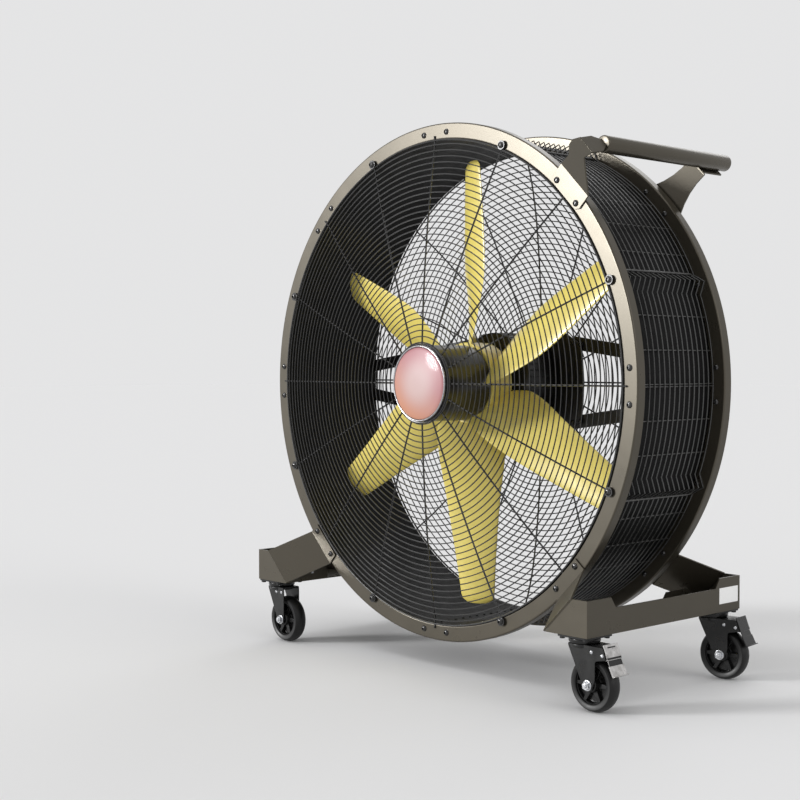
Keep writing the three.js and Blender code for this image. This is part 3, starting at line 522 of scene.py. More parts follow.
def guard(name, height, inward):
    """Round wires on sixteen spokes. inward is the direction from the wires to their spokes."""
    rings, spokes = Shape(), Shape()
    for k in range(GUARD_RINGS):
        r = GUARD_HUB + FIRST_RING + RING_PITCH * k
        y = height(r)
        rings.tube([polar(r, 360 * i / 144, y) for i in range(144)], FINE_WIRE, 6, closed=True)
    rim, rim_wire = RIM
    rings.tube([polar(rim, 360 * i / 192, height(rim)) for i in range(192)], rim_wire, 8, closed=True)
    full, none = SPOKE_RUN_OUT
    for k in range(SPOKES):
        points = []
        for i in range(SPOKE_STEPS + 1):
            r = GUARD_HUB + (SPOKE_STOPS[k % 2] - GUARD_HUB) * i / SPOKE_STEPS
            share = 1.0 if r < full else max(0.0, (none - r) / (none - full))
            points.append(polar(r, 22.5 * k, height(r) + inward * SPOKE_DEPTH * share))
        spokes.tube(points, SPOKE_WIRE, 8)
    piece(rings, name + "_rings", WIRE, on=[name])
    piece(spokes, name + "_spokes", WIRE)


def guard_centre_bands():
    """The plain band that carries the wires round the nose, and the rear guard's centre plate."""
    y = front_y(GUARD_HUB)
    band = [(0.0965, y - 0.003), (0.0990, y - 0.0035), (0.1005, y - 0.002), (0.1005, y + 0.006),
            (0.0965, y + 0.006)]
    piece(Shape().lathe(band, 96, ON_AXIS), "front_guard_band", WIRE)
    y = rear_y(GUARD_HUB)
    disc = [(0, y - 0.001), (0.094, y - 0.001), (0.1015, y - 0.003), (0.1030, y - 0.001),
            (0.1020, y + 0.001), (0.094, y + 0.0022), (0.090, y + 0.0026), (0, y + 0.0026)]
    piece(Shape().lathe(disc, 96, ON_AXIS, closed=False), "rear_guard_disc", WIRE)


EYE_CIRCLE = 0.6185
EYE = (0.0085, 0.0024)  # radius of an eyelet, and of its wire
EYE_BOLT = (0.0082, 0.0058, 0.0115)  # a head's radius and height, and its washer's radius
EYE_NUT = (0.0062, 0.004)


def guard_eyelets():
    eyes, bolts = Shape(), Shape()
    radius, eye_wire = EYE
    for k in range(8):
        angle = 22.5 + 45 * k
        matrix = facing_front(polar(EYE_CIRCLE, angle, FRONT - 0.0030))
        loop = [matrix @ Vector((radius * cos(tau * i / 20), 0, radius * sin(tau * i / 20)))
                for i in range(20)]
        eyes.tube(loop, eye_wire, 6, closed=True)
        button_head(bolts, facing_front(polar(EYE_CIRCLE, angle, FRONT - 0.0052)), *EYE_BOLT)
        button_head(bolts, facing_front(polar(EYE_CIRCLE, angle, REAR)), *EYE_NUT)
    piece(eyes, "guard_eyelets", WIRE)
    piece(bolts, "guard_bolts", WIRE)


# ---- Side cage ----

PANEL = 90  # degrees
HOOP_STEP = 1.5
FOLDS = (22.5, 67.5)  # places of a panel's two folds
FOLD_HALF = 2.35
FOLD_RISE = 0.0215
CAGE_HOOPS = 18
BAR_OFFSETS = (0.25, 7.5, 15, 30, 37.5, 45, 52.5, 60, 75, 82.5, 89.75)
BAR_WIRE = 0.0014
BAR_DEPTH = 0.0028  # from the hoops' wires to the bars
ROD_WIRE = 0.0026
ROD_LIFT = 0.0040
EDGE_WIRE = 0.0022


def fold_lift(angle):
    place = (angle % 45) - 22.5
    return FOLD_RISE * max(0.0, 1 - abs(place) / FOLD_HALF)


def cage_panel(number):
    """A quarter of the cage: wire hoops outside thin cross bars, and a rod beside each fold."""
    start = PANEL * (number - 1)
    hoops, bars = Shape(), Shape()
    folds = [start + place for place in FOLDS]
    angles = [start + HOOP_STEP * i for i in range(61)]
    angles = [a for a in angles if min(abs(a - fold) for fold in folds) > FOLD_HALF]
    for fold in folds:
        angles += [fold + FOLD_HALF * share for share in (-1, -0.5, 0, 0.5, 1)]
    angles.sort()
    angles[0], angles[-1] = start + 0.04, start + PANEL - 0.04
    low, high = FRONT + 0.0075, REAR - 0.0025
    for k in range(CAGE_HOOPS):
        y = low + (high - low) * k / (CAGE_HOOPS - 1)
        hoops.tube([polar(CAGE + fold_lift(a), a, y) for a in angles], FINE_WIRE, 6)
    front, back = FRONT + 0.0038, REAR - 0.0004
    for offset in BAR_OFFSETS:
        bars.tube([polar(CAGE - BAR_DEPTH, start + offset, y) for y in (front, back)], BAR_WIRE, 6)
    for fold, out in zip(folds, (1, -1)):
        a = fold + out * FOLD_HALF
        inward = -out * 0.55
        # Radius from the cage's, turn from the fold's edge, and distance from the ring
        ends = [(-0.0020, inward * 1.6, 0), (0.0010, inward, 0.006), (ROD_LIFT, inward * 0.2, 0.018),
                (ROD_LIFT, 0, 0.030)]
        rod = [polar(CAGE + lift, a + turn, front + run) for lift, turn, run in ends]
        rod += [polar(CAGE + lift, a + turn, back - run) for lift, turn, run in reversed(ends)]
        bars.tube(rod, ROD_WIRE, 8)
        for y in (low - 0.0016, high + 0.0016):
            edge = [fold + FOLD_HALF * share for share in (-1.1, -1, -0.5, 0, 0.5, 1, 1.1)]
            bars.tube([polar(CAGE + fold_lift(b) - 0.001, b, y) for b in edge], EDGE_WIRE, 6)
    piece(hoops, "side_cage_hoops_%d" % number, CAGE_WIRE, on=["side_cage_%d" % number])
    piece(bars, "side_cage_bars_%d" % number, CAGE_WIRE)


# ---- Nose and badge ----

NOSE_RADIUS = 0.096
NOSE_END = -0.0722
BADGE_RADIUS = 0.0896
CROWN_RADIUS = 0.0882
BEZEL = 0.0901  # its inner radius


def nose():
    y = front_y(GUARD_HUB) - 0.001
    inner = NOSE_RADIUS - 0.003
    sleeve = [(inner, y + 0.001), (0.0955, y), (NOSE_RADIUS, y + 0.002),
              (NOSE_RADIUS, NOSE_END - 0.0018), (0.0945, NOSE_END), (inner, NOSE_END)]
    piece(Shape().lathe(sleeve, 128, ON_AXIS), "nose_shell", NOSE, on=["nose_sleeve"])
    front, back = [corner.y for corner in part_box("badge")]
    dome = [(0, back), (BADGE_RADIUS - 0.0006, back), (BADGE_RADIUS, back - 0.001),
            (BADGE_RADIUS, back - 0.0060)]
    for i in range(13):
        share = 1 - i / 12
        dome.append((CROWN_RADIUS * share, front + (back - 0.0066 - front) * share ** 2.2))
    piece(Shape().lathe(dome, 128, ON_AXIS, closed=False), "badge_dome", BADGE,
          on=["badge"])
    trim = [(BEZEL, back), (0.0955, back), (0.0958, back - 0.002)]
    trim += [(0.0929 + 0.0027 * cos(radians(a)), back - 0.0050 - 0.0030 * sin(radians(a)))
             for a in range(0, 181, 20)]
    trim += [(BEZEL, back - 0.002)]
    piece(Shape().lathe(trim, 128, ON_AXIS), "badge_bezel", SILVER, on=["badge_trim"])


# ---- Impeller ----

BLADES = 6
TIP = 0.572
# Radius, pitch in degrees, and the two edges' distances from the radial line, in metres
SECTIONS = [(0.1032, 50, 0.0895, 0.0545), (0.125, 47.5, 0.0955, 0.069), (0.150, 44, 0.098, 0.080),
            (0.200, 37.5, 0.0935, 0.081), (0.300, 25.5, 0.079, 0.072), (0.450, 21.5, 0.053, 0.062),
            (TIP, 21, 0.033, 0.057)]
BLADE_MIDDLE = -0.035
BLADE_STEPS = 44
BLADE_CELLS = 20  # across the blade
TIP_CORNER = 0.020
BELLY = 0.06  # height of a section's curve, as a share of its width
HALF_THICKNESS = 0.0032
EDGE_THICKNESS = 0.0002


def section_at(radius):
    """Pitch and edges at a radius, on a smooth curve through SECTIONS."""
    radii = [s[0] for s in SECTIONS]
    i = max(0, min(len(radii) - 2, sum(1 for r in radii if r <= radius) - 1))
    a, b = SECTIONS[i], SECTIONS[i + 1]
    before = SECTIONS[i - 1] if i else a
    after = SECTIONS[i + 2] if i + 2 < len(SECTIONS) else b
    span = b[0] - a[0]
    t = (radius - a[0]) / span
    out = []
    for k in (1, 2, 3):
        m0 = (b[k] - before[k]) / max(1e-6, b[0] - before[0]) * span
        m1 = (after[k] - a[k]) / max(1e-6, after[0] - a[0]) * span
        out.append((2 * t ** 3 - 3 * t ** 2 + 1) * a[k] + (t ** 3 - 2 * t ** 2 + t) * m0
                   + (-2 * t ** 3 + 3 * t ** 2) * b[k] + (t ** 3 - t ** 2) * m1)
    return out


def border(rows):
    """The points round the edge of a sheet of rows, closed."""
    outward = [row[0] for row in rows] + rows[-1][1:]
    return outward + [row[-1] for row in reversed(rows)][1:] + list(reversed(rows[0]))[1:]


def blade(number):
    turn = 90 - 360 / BLADES * (number - 1)
    root = SECTIONS[0][0]
    radii = [root + (TIP - root) * i / BLADE_STEPS for i in range(BLADE_STEPS + 1)]
    radii = sorted(radii + [TIP - 0.0005])
    top, under = [], []
    for radius in radii:
        pitch, lead, trail = section_at(radius)
        left = TIP - radius
        if left < TIP_CORNER:
            cut = TIP_CORNER - math.sqrt(max(0.0, TIP_CORNER ** 2 - (TIP_CORNER - left) ** 2))
            lead, trail = lead - cut, trail - cut
        p = radians(pitch)
        thinning = min(1.0, 0.45 + 0.55 * left / TIP_CORNER)
        rows = ([], [])
        for j in range(BLADE_CELLS + 1):
            s = 0.5 - 0.5 * cos(pi * j / BLADE_CELLS)
            hump = 4 * s * (1 - s)
            along = -trail + (lead + trail) * s
            belly = BELLY * (lead + trail) * hump
            half = HALF_THICKNESS * hump ** 0.45 + EDGE_THICKNESS
            for side, row in zip((1, -1), rows):
                offset = belly + side * half * thinning
                across = along * cos(p) - offset * sin(p)
                back = -along * sin(p) - offset * cos(p)
                row.append(polar(radius, turn - math.degrees(across / radius), BLADE_MIDDLE + back))
        top.append(rows[0])
        under.append(rows[1])
    shape = Shape().grid(top).grid(under).grid([border(top), border(under)])
    piece(shape, "blade_skin_%d" % number, YELLOW, "impeller", smooth=60,
          on=["blade_%d" % number])


HUB_BORE = 0.0203
HUB_DISH = 0.012  # depth of the hub's front dish
HUB_BOLT_CIRCLE = 0.058
HUB_BOLT = (0.006, 0.004)


def impeller_hub():
    front, back = [corner.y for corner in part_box("impeller_hub")]
    dish = front + HUB_DISH
    profile = [(HUB_BORE, dish - 0.002), (0.036, dish - 0.002), (0.040, dish), (0.076, dish),
               (0.082, dish - 0.002), (0.0925, front + 0.0008), (0.0955, front), (0.1015, front),
               (0.1036, front + 0.0022), (0.1036, back - 0.0022), (0.1015, back), (0.085, back),
               (HUB_BORE, back)]
    piece(Shape().lathe(profile, 128, ON_AXIS), "impeller_hub_skin", YELLOW, "impeller",
          on=["impeller_hub"])
    shape = Shape()
    for k in range(6):
        button_head(shape, facing_front(polar(HUB_BOLT_CIRCLE, 60 * k, dish)), *HUB_BOLT)
    piece(shape, "hub_bolts", ZINC, "impeller")


# ---- Motor ----

SEAT = 0.0313  # radius of the bearings' seats
SHIELD_RADIUS = 0.130
HOUSING_BORE = 0.122
HOUSING_RADIUS = 0.128
END_WALL = 0.020
SHIELD_RIBS = 12
FINS = 48
NO_FINS = range(9, 16)  # below the terminal box
BOX = (0.044, 0.029)  # half width and half depth of the terminal box; its cover reaches 1 mm further


def motor_shield():
    front, back = [corner.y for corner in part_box("motor_shield")]
    profile = [(SEAT, front), (0.042, front), (0.044, front + 0.001), (0.054, front + 0.005),
               (0.114, front + 0.0050), (0.120, front + 0.0055), (0.129, front + 0.0100),
               (SHIELD_RADIUS, front + 0.0115), (SHIELD_RADIUS, back), (SEAT, back)]
    shape = Shape().lathe(profile, 128, ON_AXIS)
    for k in range(SHIELD_RIBS):
        matrix = ON_AXIS @ Matrix.Rotation(tau * (k + 0.5) / SHIELD_RIBS, 4, "Y")
        shape.block((0.052, front + 0.0015, -0.003), (0.116, front + 0.0060, 0.003), matrix)
    piece(shape, "motor_shield_casting", MOTOR, bevel=0.0008, on=["motor_shield"])


def motor_housing():
    front, back = [corner.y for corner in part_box("motor_housing")]
    inside = back - END_WALL
    pocket = back - 0.004
    profile = [(HOUSING_BORE, front), (0.1275, front), (HOUSING_RADIUS, front + 0.001),
               (HOUSING_RADIUS, back - 0.006), (0.124, back), (0, back), (0, pocket), (SEAT, pocket),
               (SEAT, inside), (HOUSING_BORE, inside)]
    shape = Shape().lathe(profile, 96, ON_AXIS, closed=False)
    shape.grid([[polar(HOUSING_BORE, 360 * i / 96, y) for i in range(96)] for y in (front, inside)],
               close_v=True)
    for k in range(FINS):
        if k not in NO_FINS:
            matrix = ON_AXIS @ Matrix.Rotation(tau * k / FINS, 4, "Y")
            shape.block((0.1265, front + 0.004, -0.0016), (0.130, back - 0.009, 0.0016), matrix)
    piece(shape, "motor_shell", MOTOR, bevel=0.0005, on=["motor_housing"])


def terminal_box():
    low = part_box("terminal_box")[0].z
    middle = sum(corner.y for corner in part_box("motor_housing")) / 2
    x, y = BOX
    shape = Shape()
    shape.block((-x, middle - y, low + 0.0065), (x, middle + y, low + 0.041))
    shape.block((-x - 0.001, middle - y - 0.001, low), (x + 0.001, middle + y + 0.001, low + 0.006))
    piece(shape, "terminal_box_shell", MOTOR, bevel=0.002, segments=3,
          on=["terminal_box"])
    gland = [(0, 0), (0.0105, 0), (0.011, -0.001), (0.011, -0.006), (0.0095, -0.007),
             (0.0092, -0.012), (0.0078, -0.0165), (0.006, -0.0178), (0, -0.0178)]
    place = Matrix.Translation((0, middle, low)) @ Y_UP
    piece(Shape().lathe(gland, 20, place, closed=False), "cable_gland_nut", MOTOR,
          on=["cable_gland"])


PLATE_FACE = 0.1460
PLATE_BOLT = (0.007, 0.0045)
# Distances from the axis, across and up, of an arm's two bolts on the plate
PLATE_BOLTS = ((0.178, 0.103), (0.2039875, 0.09940375))


def motor_plate():
    dress("motor_plate", MOTOR, 0.0012)
    shape = Shape()
    for right, side in ((1, "right"), (-1, "left")):
        for up, end in ((1, "upper"), (-1, "lower")):
            dress("motor_arm_%s_%s" % (end, side), MOTOR, 0.0010)
            for x, z in PLATE_BOLTS:
                place = Vector((right * x, PLATE_FACE, AXIS + up * z))
                button_head(shape, facing_front(place), *PLATE_BOLT)
    piece(shape, "motor_plate_bolts", WIRE)


def motor():
    motor_shield()
    motor_housing()
    terminal_box()
    for node in ("motor_stator", "motor_rotor", "bearing_front", "bearing_rear"):
        dress(node, STEEL)
    motor_plate()


# ---- Handle ----

TUBE_RADIUS = 0.020
TUBE_EDGE = 0.003
TUBE_FRONT, TUBE_REAR = -0.166, 0.296
TUBE_VENT = (0.003, 0.005)  # radius and depth of the hole in its rear end
TUBE_DISTANCE = 0.766  # from the drum's axis
TO_HANDLE = ON_AXIS @ Matrix.Rotation(radians(45), 4, "Y")


def handle():
    vent, depth = TUBE_VENT
    profile = [(0, TUBE_REAR - depth), (vent, TUBE_REAR - depth), (vent, TUBE_REAR)]
    for end, outward, angles in ((TUBE_REAR, 1, (0, 30, 60, 90)), (TUBE_FRONT, -1, (90, 60, 30, 0))):
        profile += [(TUBE_RADIUS - TUBE_EDGE + TUBE_EDGE * sin(radians(a)),
                     end - outward * TUBE_EDGE * (1 - cos(radians(a)))) for a in angles]
    profile += [(0, TUBE_FRONT)]
    place = TO_HANDLE @ Matrix.Translation((0, 0, TUBE_DISTANCE))
    piece(Shape().lathe(profile, 48, place, closed=False), "handle_tube_skin", PAINT,
          on=["handle_tube"])
    for end in ("front", "rear"):
        dress("handle_bracket_" + end, PAINT, 0.0014)


# ---- Base ----

LABEL_Y = (0.2005, 0.2756)
LABEL_Z = (0.1887, 0.2270)
LABEL_X = (RAIL_OUT + 0.00005, RAIL_OUT + 0.00045)
WEB_BOLTS_Y = (-0.228, -0.196, 0.196, 0.228)
WEB_BOLTS_Z = RAIL_LOW + 0.024
WEB_NUT = (0.010, 0.004, 0.0025)  # across its flats, height, and its bolt's radius


def base():
    for side in ("right", "left"):
        dress("base_rail_" + side, PAINT, 0.0018)
        for end in ("front", "rear"):
            dress("leg_%s_%s" % (end, side), PAINT, 0.0014)
    low, high = zip(LABEL_X, LABEL_Y, LABEL_Z)
    piece(Shape().block(low, high), "blank_label", LABEL)
    shape = Shape()
    for right in (1, -1):
        for y in WEB_BOLTS_Y:
            place = Vector((right * RAIL_IN, y, WEB_BOLTS_Z))
            hex_nut(shape, facing(place, (-right, 0, 0)), *WEB_NUT)
    piece(shape, "rail_web_bolts", ZINC)


# ---- Casters ----

CASTER_X, CASTER_Y = 0.555, 0.239  # the swivels' places
HEADINGS = {"front_right": 0.0, "rear_right": 8.0, "front_left": -1.0, "rear_left": 4.0}
RADIUS = 0.0625
TRAIL = 0.031
RACE_TOP = 0.1647
FORK_TOP = 0.1514
PEDAL_PIVOT = (0.0833, 0.1245)
PLATE_CORNER = (0.037, 0.008)  # the corner arcs' centre from the plate's middle, and their radius
PLATE_BOLT_PLACE = (0.034, 0.036)
FORK_SHEET = (0.0241, 0.0269)  # the leg's inner and outer face
LEG_RIVETS = {True: ((0.042, 0.1375), (0.0725, 0.1335)), False: ((0.012, 0.1375), (0.034, 0.1375))}
LEG_RIVET = (0.0044, 0.0024)
AXLE_NUT = (0.0165, 0.0062, 0.0050)
TREAD_HALF = 0.0175
TREAD_DEPTH = 0.012
TREAD_ANGLE = 66  # degrees, half of the tread's curve
CORE_SPOKES = 6


def lathe_up(shape, profile, segments, matrix):
    """Turns (radius, height) corners round the local Z axis."""
    shape.lathe(profile, segments, matrix @ Y_UP, closed=False)


def caster_plate(name, still):
    plate = Shape()
    outline = []
    corner, round_off = PLATE_CORNER
    for cx, cy, a in ((1, 1, 0), (-1, 1, 90), (-1, -1, 180), (1, -1, 270)):
        outline += arc((cx * corner, cy * corner), round_off, a, a + 90, 4)
    plate.prism(outline, RACE_TOP + 0.0002, RACE_TOP + 0.0040, still)
    race = [(0, 0), (0.030, 0), (0.034, 0.001), (0.036, 0.004), (0.036, 0.0097), (0.0345, 0.0125),
            (0.031, 0.0129), (0, 0.0129)]
    lathe_up(plate, [(r, RACE_TOP - drop) for r, drop in race], 48, still)
    head = [(0, -0.0005), (0.0068, -0.0005), (0.0068, 0.0042), (0.0058, 0.0052), (0, 0.0052)]
    head = [(r, RACE_TOP - drop) for r, drop in head]
    x, y = PLATE_BOLT_PLACE
    for cx in (-1, 1):
        for cy in (-1, 1):
            lathe_up(plate, head, 6, still @ Matrix.Translation((cx * x, cy * y, 0)))
    piece(plate, "caster_plate_" + name, CASTER, bevel=0.0004,
          on=["caster_mount_" + name])


def caster_fork(name, turned, braked):
    """Two legs below a round crown. A braked fork has arms that reach forward to its pedal."""
    fork = Shape()
    crown = [(0, 0), (0.0315, 0), (0.0336, 0.0010), (0.0339, 0.003), (0.0339, 0.0070),
             (0.0325, 0.0090), (0.030, 0.0095), (0, 0.0095)]
    lathe_up(fork, [(r, FORK_TOP - drop) for r, drop in crown], 48, turned)
    side = [(-0.0245, FORK_TOP - 0.0008), (-0.0258, FORK_TOP - 0.0030), (-0.0250, FORK_TOP - 0.0075),
            (-0.0182, 0.1300), (0.0002, 0.0930), (0.0088, 0.0760)]
    side += [(TRAIL + 0.0150 * cos(radians(a)), RADIUS - 0.0010 + 0.0135 * sin(radians(a)))
             for a in range(196, 350, 14)]
    if braked:
        side += [(0.0480, 0.0670), (0.0512, 0.0760), (0.0518, 0.0860), (0.0518, 0.1140),
                 (0.0535, 0.1178), (0.0570, 0.1195), (0.0805, 0.1240), (0.0822, 0.1252),
                 (0.0822, 0.1270), (0.0742, 0.1490), (0.0725, FORK_TOP - 0.0008)]
        reach = 0.0720
    else:
        side += [(0.0447, 0.0700), (0.0447, 0.1350), (0.0440, 0.1470), (0.0420, FORK_TOP - 0.0008)]
        reach = 0.0415
    inner, outer = FORK_SHEET
    for sign in (-1, 1):
        fork.prism(side, -sign * inner, -sign * outer, turned @ Y_UP)
    fork.block((-0.0245, -0.0262, FORK_TOP - 0.0034), (reach, 0.0262, FORK_TOP - 0.0006), turned)
    if braked:
        x, z = PEDAL_PIVOT
        pin = [turned @ Vector((x - 0.0042, y, z + 0.0030)) for y in (-0.0276, 0.0276)]
        fork.tube(pin, 0.0018, 10)
    piece(fork, "caster_yoke_" + name, CASTER, "swivel_" + name, bevel=0.0007,
          on=["caster_fork_" + name])


def caster_wheel(name, spin):
    profile = [(0.0445, -0.0155), (0.0470, -0.0172)]
    for i in range(13):
        a = radians(TREAD_ANGLE * (i / 6 - 1))
        across = TREAD_HALF * sin(a) / sin(radians(TREAD_ANGLE))
        profile.append((RADIUS - TREAD_DEPTH * (1 - cos(a)), across))
    profile += [(0.0470, 0.0172), (0.0445, 0.0155), (0.0435, 0.0080), (0.0435, -0.0080)]
    piece(Shape().lathe(profile, 96, spin), "caster_tread_" + name, TYRE,
          "wheel_" + name, smooth=40, on=["caster_wheel_" + name])
    half = [(0.0063, 0.0200), (0.0150, 0.0200), (0.0170, 0.0180), (0.0190, 0.0080),
            (0.0200, 0.0030), (0.0400, 0.0030), (0.0425, 0.0120), (0.0440, 0.0125)]
    core = Shape().lathe([(r, -y) for r, y in half] + half[::-1], 64, spin)
    spoke = [(0.0150, -0.0060), (0.0425, -0.0040), (0.0425, 0.0040), (0.0150, 0.0060)]
    for k in range(CORE_SPOKES):
        arm = spin @ Matrix.Rotation(tau * k / CORE_SPOKES, 4, "Y")
        core.prism(spoke, -0.0115, 0.0115, arm @ Y_UP)
    piece(core, "caster_core_" + name, CASTER, "wheel_" + name, bevel=0.0008)


def caster_axle(name, turned, spin):
    axle = Shape()
    washer = [(0, 0), (0.0120, 0), (0.0120, -0.0012), (0.0115, -0.0016), (0, -0.0016)]
    nut_up = turned.to_3x3() @ Vector((0.3, 0, 1))
    for sign in (-1, 1):
        out = turned.to_3x3() @ Vector((0, sign, 0))
        place, nut_place = [turned @ Vector((TRAIL, sign * y, RADIUS)) for y in (0.0271, 0.0288)]
        axle.lathe(washer, 28, facing(place, out), closed=False)
        hex_nut(axle, facing(nut_place, out, nut_up), *AXLE_NUT)
    axle.lathe([(0, -0.028), (0.006, -0.028), (0.006, 0.028), (0, 0.028)], 20, spin, closed=False)
    piece(axle, "caster_axle_nuts_" + name, ZINC, "swivel_" + name, bevel=0.0005,
          on=["caster_axle_" + name])


def caster_rivets(name, turned, braked):
    rivets = Shape()
    for sign in (-1, 1):
        out = turned.to_3x3() @ Vector((0, sign, 0))
        for x, z in LEG_RIVETS[braked]:
            place = turned @ Vector((x, sign * FORK_SHEET[1], z))
            button_head(rivets, facing(place, out), *LEG_RIVET)
    piece(rivets, "caster_rivets_" + name, ZINC, "swivel_" + name)


def slat(shape, a, b, half, low, high, matrix):
    """A flat board from a to b, both (x, z), across local Y, between two heights above that line."""
    length = math.hypot(b[0] - a[0], b[1] - a[1])
    nx, nz = -(b[1] - a[1]) / length, (b[0] - a[0]) / length
    corners = ((low, -half), (low, half), (high, half), (high, -half))
    rows = [[(x + nx * h, w, z + nz * h) for h, w in corners] for x, z in (a, b)]
    shape.grid(rows, close_v=True, matrix=matrix)
    shape.add(rows[0], [(0, 1, 2, 3)], matrix)
    shape.add(rows[1], [(3, 2, 1, 0)], matrix)


PEDAL_HALF = 0.0250
PEDAL_SHEET = 0.0024
# The pedal's line, as (x, z), and its rolled lip
PEDAL_LINE = ((0.0741, 0.1570), (0.0862, 0.1242), (0.0915, 0.1130), (0.1025, 0.0910))
PEDAL_LIP = ((0.1012, 0.0890), (0.1075, 0.0925))
PEDAL_EAR = [(0.0735, 0.1400), (0.0795, 0.1400), (0.0840, 0.1262), (0.0836, 0.1228),
             (0.0780, 0.1228), (0.0745, 0.1260)]
EAR_SHEET = (0.0200, 0.0222)
# Where each groove starts and stops below the pedal's top edge, and its half width; the grooves are dark
# strips of painted shade
GROOVES = ((0.0055, 0.0085, 0.0130), (0.0290, 0.0335, 0.0236))


def pedal(name, matrix):
    top, bend, low, toe = PEDAL_LINE
    shape = Shape()
    slat(shape, top, bend, PEDAL_HALF - 0.0010, -PEDAL_SHEET, 0, matrix)
    slat(shape, bend, low, PEDAL_HALF - 0.0030, -PEDAL_SHEET - 0.0004, -0.0010, matrix)
    slat(shape, low, toe, PEDAL_HALF, -PEDAL_SHEET, 0, matrix)
    slat(shape, *PEDAL_LIP, PEDAL_HALF, -0.0002, 0.0018, matrix)
    inner, outer = EAR_SHEET
    for sign in (-1, 1):
        shape.prism(PEDAL_EAR, -sign * inner, -sign * outer, matrix @ Y_UP)
    material, slot = (PEDAL, "pedal_zinc") if "front" in name else (CASTER, "caster_black")
    piece(shape, "brake_lever_" + name, material, "brake_" + name, bevel=0.0006,
          on=["brake_pedal_" + name])
    # Dark strips of painted shade: in the pedal's two grooves, and over the sunk band between its bend
    # and its low edge.
    painted_shade = Shape()
    along = Vector((bend[0] - top[0], 0, bend[1] - top[1])).normalized()
    start = Vector((top[0], 0, top[1]))
    for first, last, half in GROOVES:
        a, b = start + along * first, start + along * last
        slat(painted_shade, (a.x, a.z), (b.x, b.z), half, -0.0004, 0.0003, matrix)
    slat(painted_shade, bend, low, PEDAL_HALF - 0.0028, -0.0012, -0.0006, matrix)
    piece(painted_shade, "brake_groove_shade_" + name, CASTER, "brake_" + name)


def caster(name, x, y):
    braked = x > 0
    still = Matrix.Translation((x, y, 0))
    turned = still @ Matrix.Rotation(radians(HEADINGS[name]), 4, "Z")
    spin = turned @ Matrix.Translation((TRAIL, 0, RADIUS))
    caster_plate(name, still)
    caster_fork(name, turned, braked)
    caster_wheel(name, spin)
    caster_axle(name, turned, spin)
    caster_rivets(name, turned, braked)
    if braked:
        pedal(name, turned)


# ---- Stage, light and camera ----

BACKGROUND = (0.78, 0.78, 0.785)
FLOOR_HALF = 40.0
SKY = 0.50
# Soft suns: name, the side that it shines from, strength, and apparent width in degrees
SUNS = (
    ("overhead", (-0.10, -0.15, 1.0), 0.5, 40),
    ("key", (-0.57, -0.80, 0.19), 3.0, 13),
    ("fill", (0.88, 0.16, 0.42), 0.4, 30),
    ("back", (-0.35, 0.86, 0.55), 0.3, 30),
)
SEEN_RAYS = ("Is Camera Ray", "Is Glossy Ray", "Is Transmission Ray")

IMAGE = 800  # pixels, both ways
FOCAL = 1430.0  # pixels
CENTRE = (440.0, 401.0)  # the pixel that the camera points at
SENSOR = 36.0
CAMERA_PLACE = (2.6320, -2.6375, 0.7707)
CAMERA_YAW = radians(46.70)
CAMERA_PITCH = radians(1.55)


def seen_switch(nodes, links):
    """1 for the rays that see a surface directly or in gloss or glass, 0 for the rest."""
    path = nodes.new("ShaderNodeLightPath")
    total = path.outputs[SEEN_RAYS[0]]
    for ray in SEEN_RAYS[1:]:
        node = nodes.new("ShaderNodeMath")
        node.operation = "MAXIMUM"
        links.new(total, node.inputs[0])
        links.new(path.outputs[ray], node.inputs[1])
        total = node.outputs[0]
    return total


def seen_or_lit(tree, kind, output):
    """Clears a tree and returns its two shaders: what lights the scene, and what is seen."""
    nodes, links = tree.nodes, tree.links
    nodes.clear()
    out = nodes.new(output)
    lit, seen = nodes.new(kind), nodes.new(kind)
    mix = nodes.new("ShaderNodeMixShader")
    links.new(seen_switch(nodes, links), mix.inputs[0])
    links.new(lit.outputs[0], mix.inputs[1])
    links.new(seen.outputs[0], mix.inputs[2])
    links.new(mix.outputs[0], out.inputs[0])
    return lit, seen


def floor_level():
    """The light that falls on open floor, so that the floor can meet the background unseen."""
    return SKY + sum(strength * Vector(side).normalized().z / pi for _, side, strength, _ in SUNS)


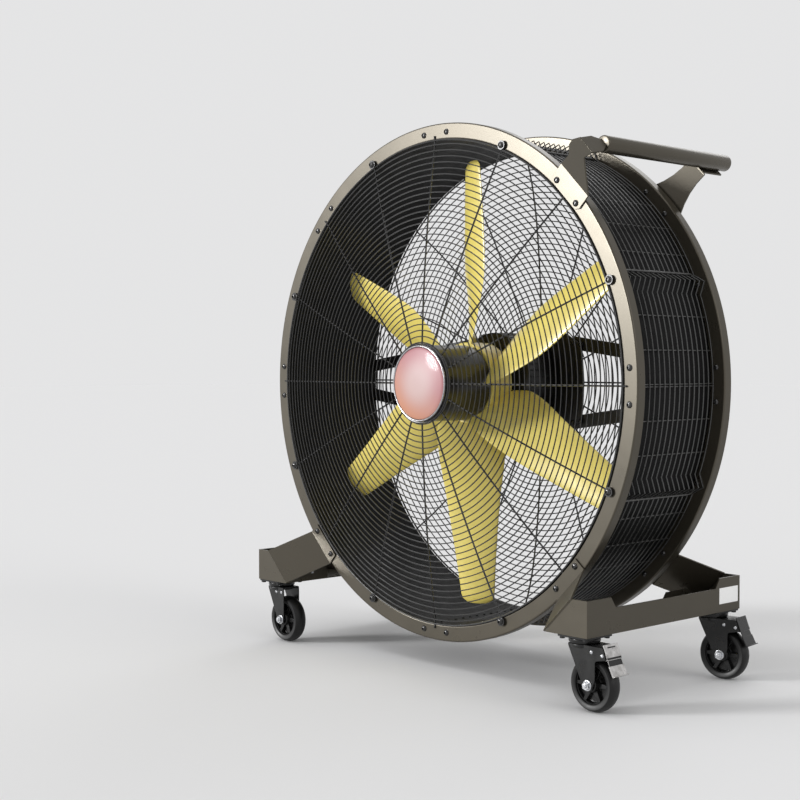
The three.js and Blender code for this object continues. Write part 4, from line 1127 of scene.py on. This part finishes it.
def stage():
    mesh = bpy.data.meshes.new("floor")
    s = FLOOR_HALF
    mesh.from_pydata([(-s, -s, 0), (s, -s, 0), (s, s, 0), (-s, s, 0)], [], [(0, 1, 2, 3)])
    floor = bpy.data.objects.new("floor", mesh)
    bpy.context.collection.objects.link(floor)
    mat = bpy.data.materials.new("floor")
    mat.use_nodes = True
    lit, seen = seen_or_lit(mat.node_tree, "ShaderNodeBsdfDiffuse", "ShaderNodeOutputMaterial")
    lit.inputs["Color"].default_value = (0.62, 0.62, 0.62, 1)
    seen.inputs["Color"].default_value = (*[c / floor_level() for c in BACKGROUND], 1)
    mesh.materials.append(mat)

    world = bpy.data.worlds.new("studio")
    bpy.context.scene.world = world
    world.use_nodes = True
    lit, seen = seen_or_lit(world.node_tree, "ShaderNodeBackground", "ShaderNodeOutputWorld")
    lit.inputs["Color"].default_value = (1, 1, 1, 1)
    lit.inputs["Strength"].default_value = SKY
    seen.inputs["Color"].default_value = (*BACKGROUND, 1)


def lights():
    for name, side, strength, width in SUNS:
        data = bpy.data.lights.new(name, "SUN")
        data.energy = strength
        data.angle = radians(width)
        obj = bpy.data.objects.new(name, data)
        bpy.context.collection.objects.link(obj)
        obj.rotation_mode = "QUATERNION"
        obj.rotation_quaternion = Vector(side).to_track_quat("Z", "Y")


def camera():
    data = bpy.data.cameras.new("camera")
    data.sensor_width = SENSOR
    data.lens = FOCAL / IMAGE * SENSOR
    data.shift_x = -(CENTRE[0] - IMAGE / 2) / IMAGE
    data.shift_y = (CENTRE[1] - IMAGE / 2) / IMAGE
    obj = bpy.data.objects.new("camera", data)
    bpy.context.collection.objects.link(obj)
    obj.location = CAMERA_PLACE
    level = cos(CAMERA_PITCH)
    ahead = Vector((-sin(CAMERA_YAW) * level, cos(CAMERA_YAW) * level, -sin(CAMERA_PITCH)))
    obj.rotation_mode = "QUATERNION"
    obj.rotation_quaternion = ahead.to_track_quat("-Z", "Y")
    data.clip_start, data.clip_end = 0.1, 60
    bpy.context.scene.camera = obj
    bpy.context.scene.view_settings.view_transform = "Standard"


drum_ring("front_ring", FRONT, True)
drum_ring("rear_ring", REAR, False)
drum_shell()
ring_bolts()
guard("front_guard", front_y, 1)
guard("rear_guard", rear_y, -1)
guard_centre_bands()
guard_eyelets()
for n in range(1, 5):
    cage_panel(n)
nose()
for n in range(1, BLADES + 1):
    blade(n)
impeller_hub()
motor()
handle()
base()
for side, right in (("right", 1), ("left", -1)):
    for end, back in (("front", -1), ("rear", 1)):
        caster("%s_%s" % (end, side), right * CASTER_X, back * CASTER_Y)
stage()
lights()
camera()
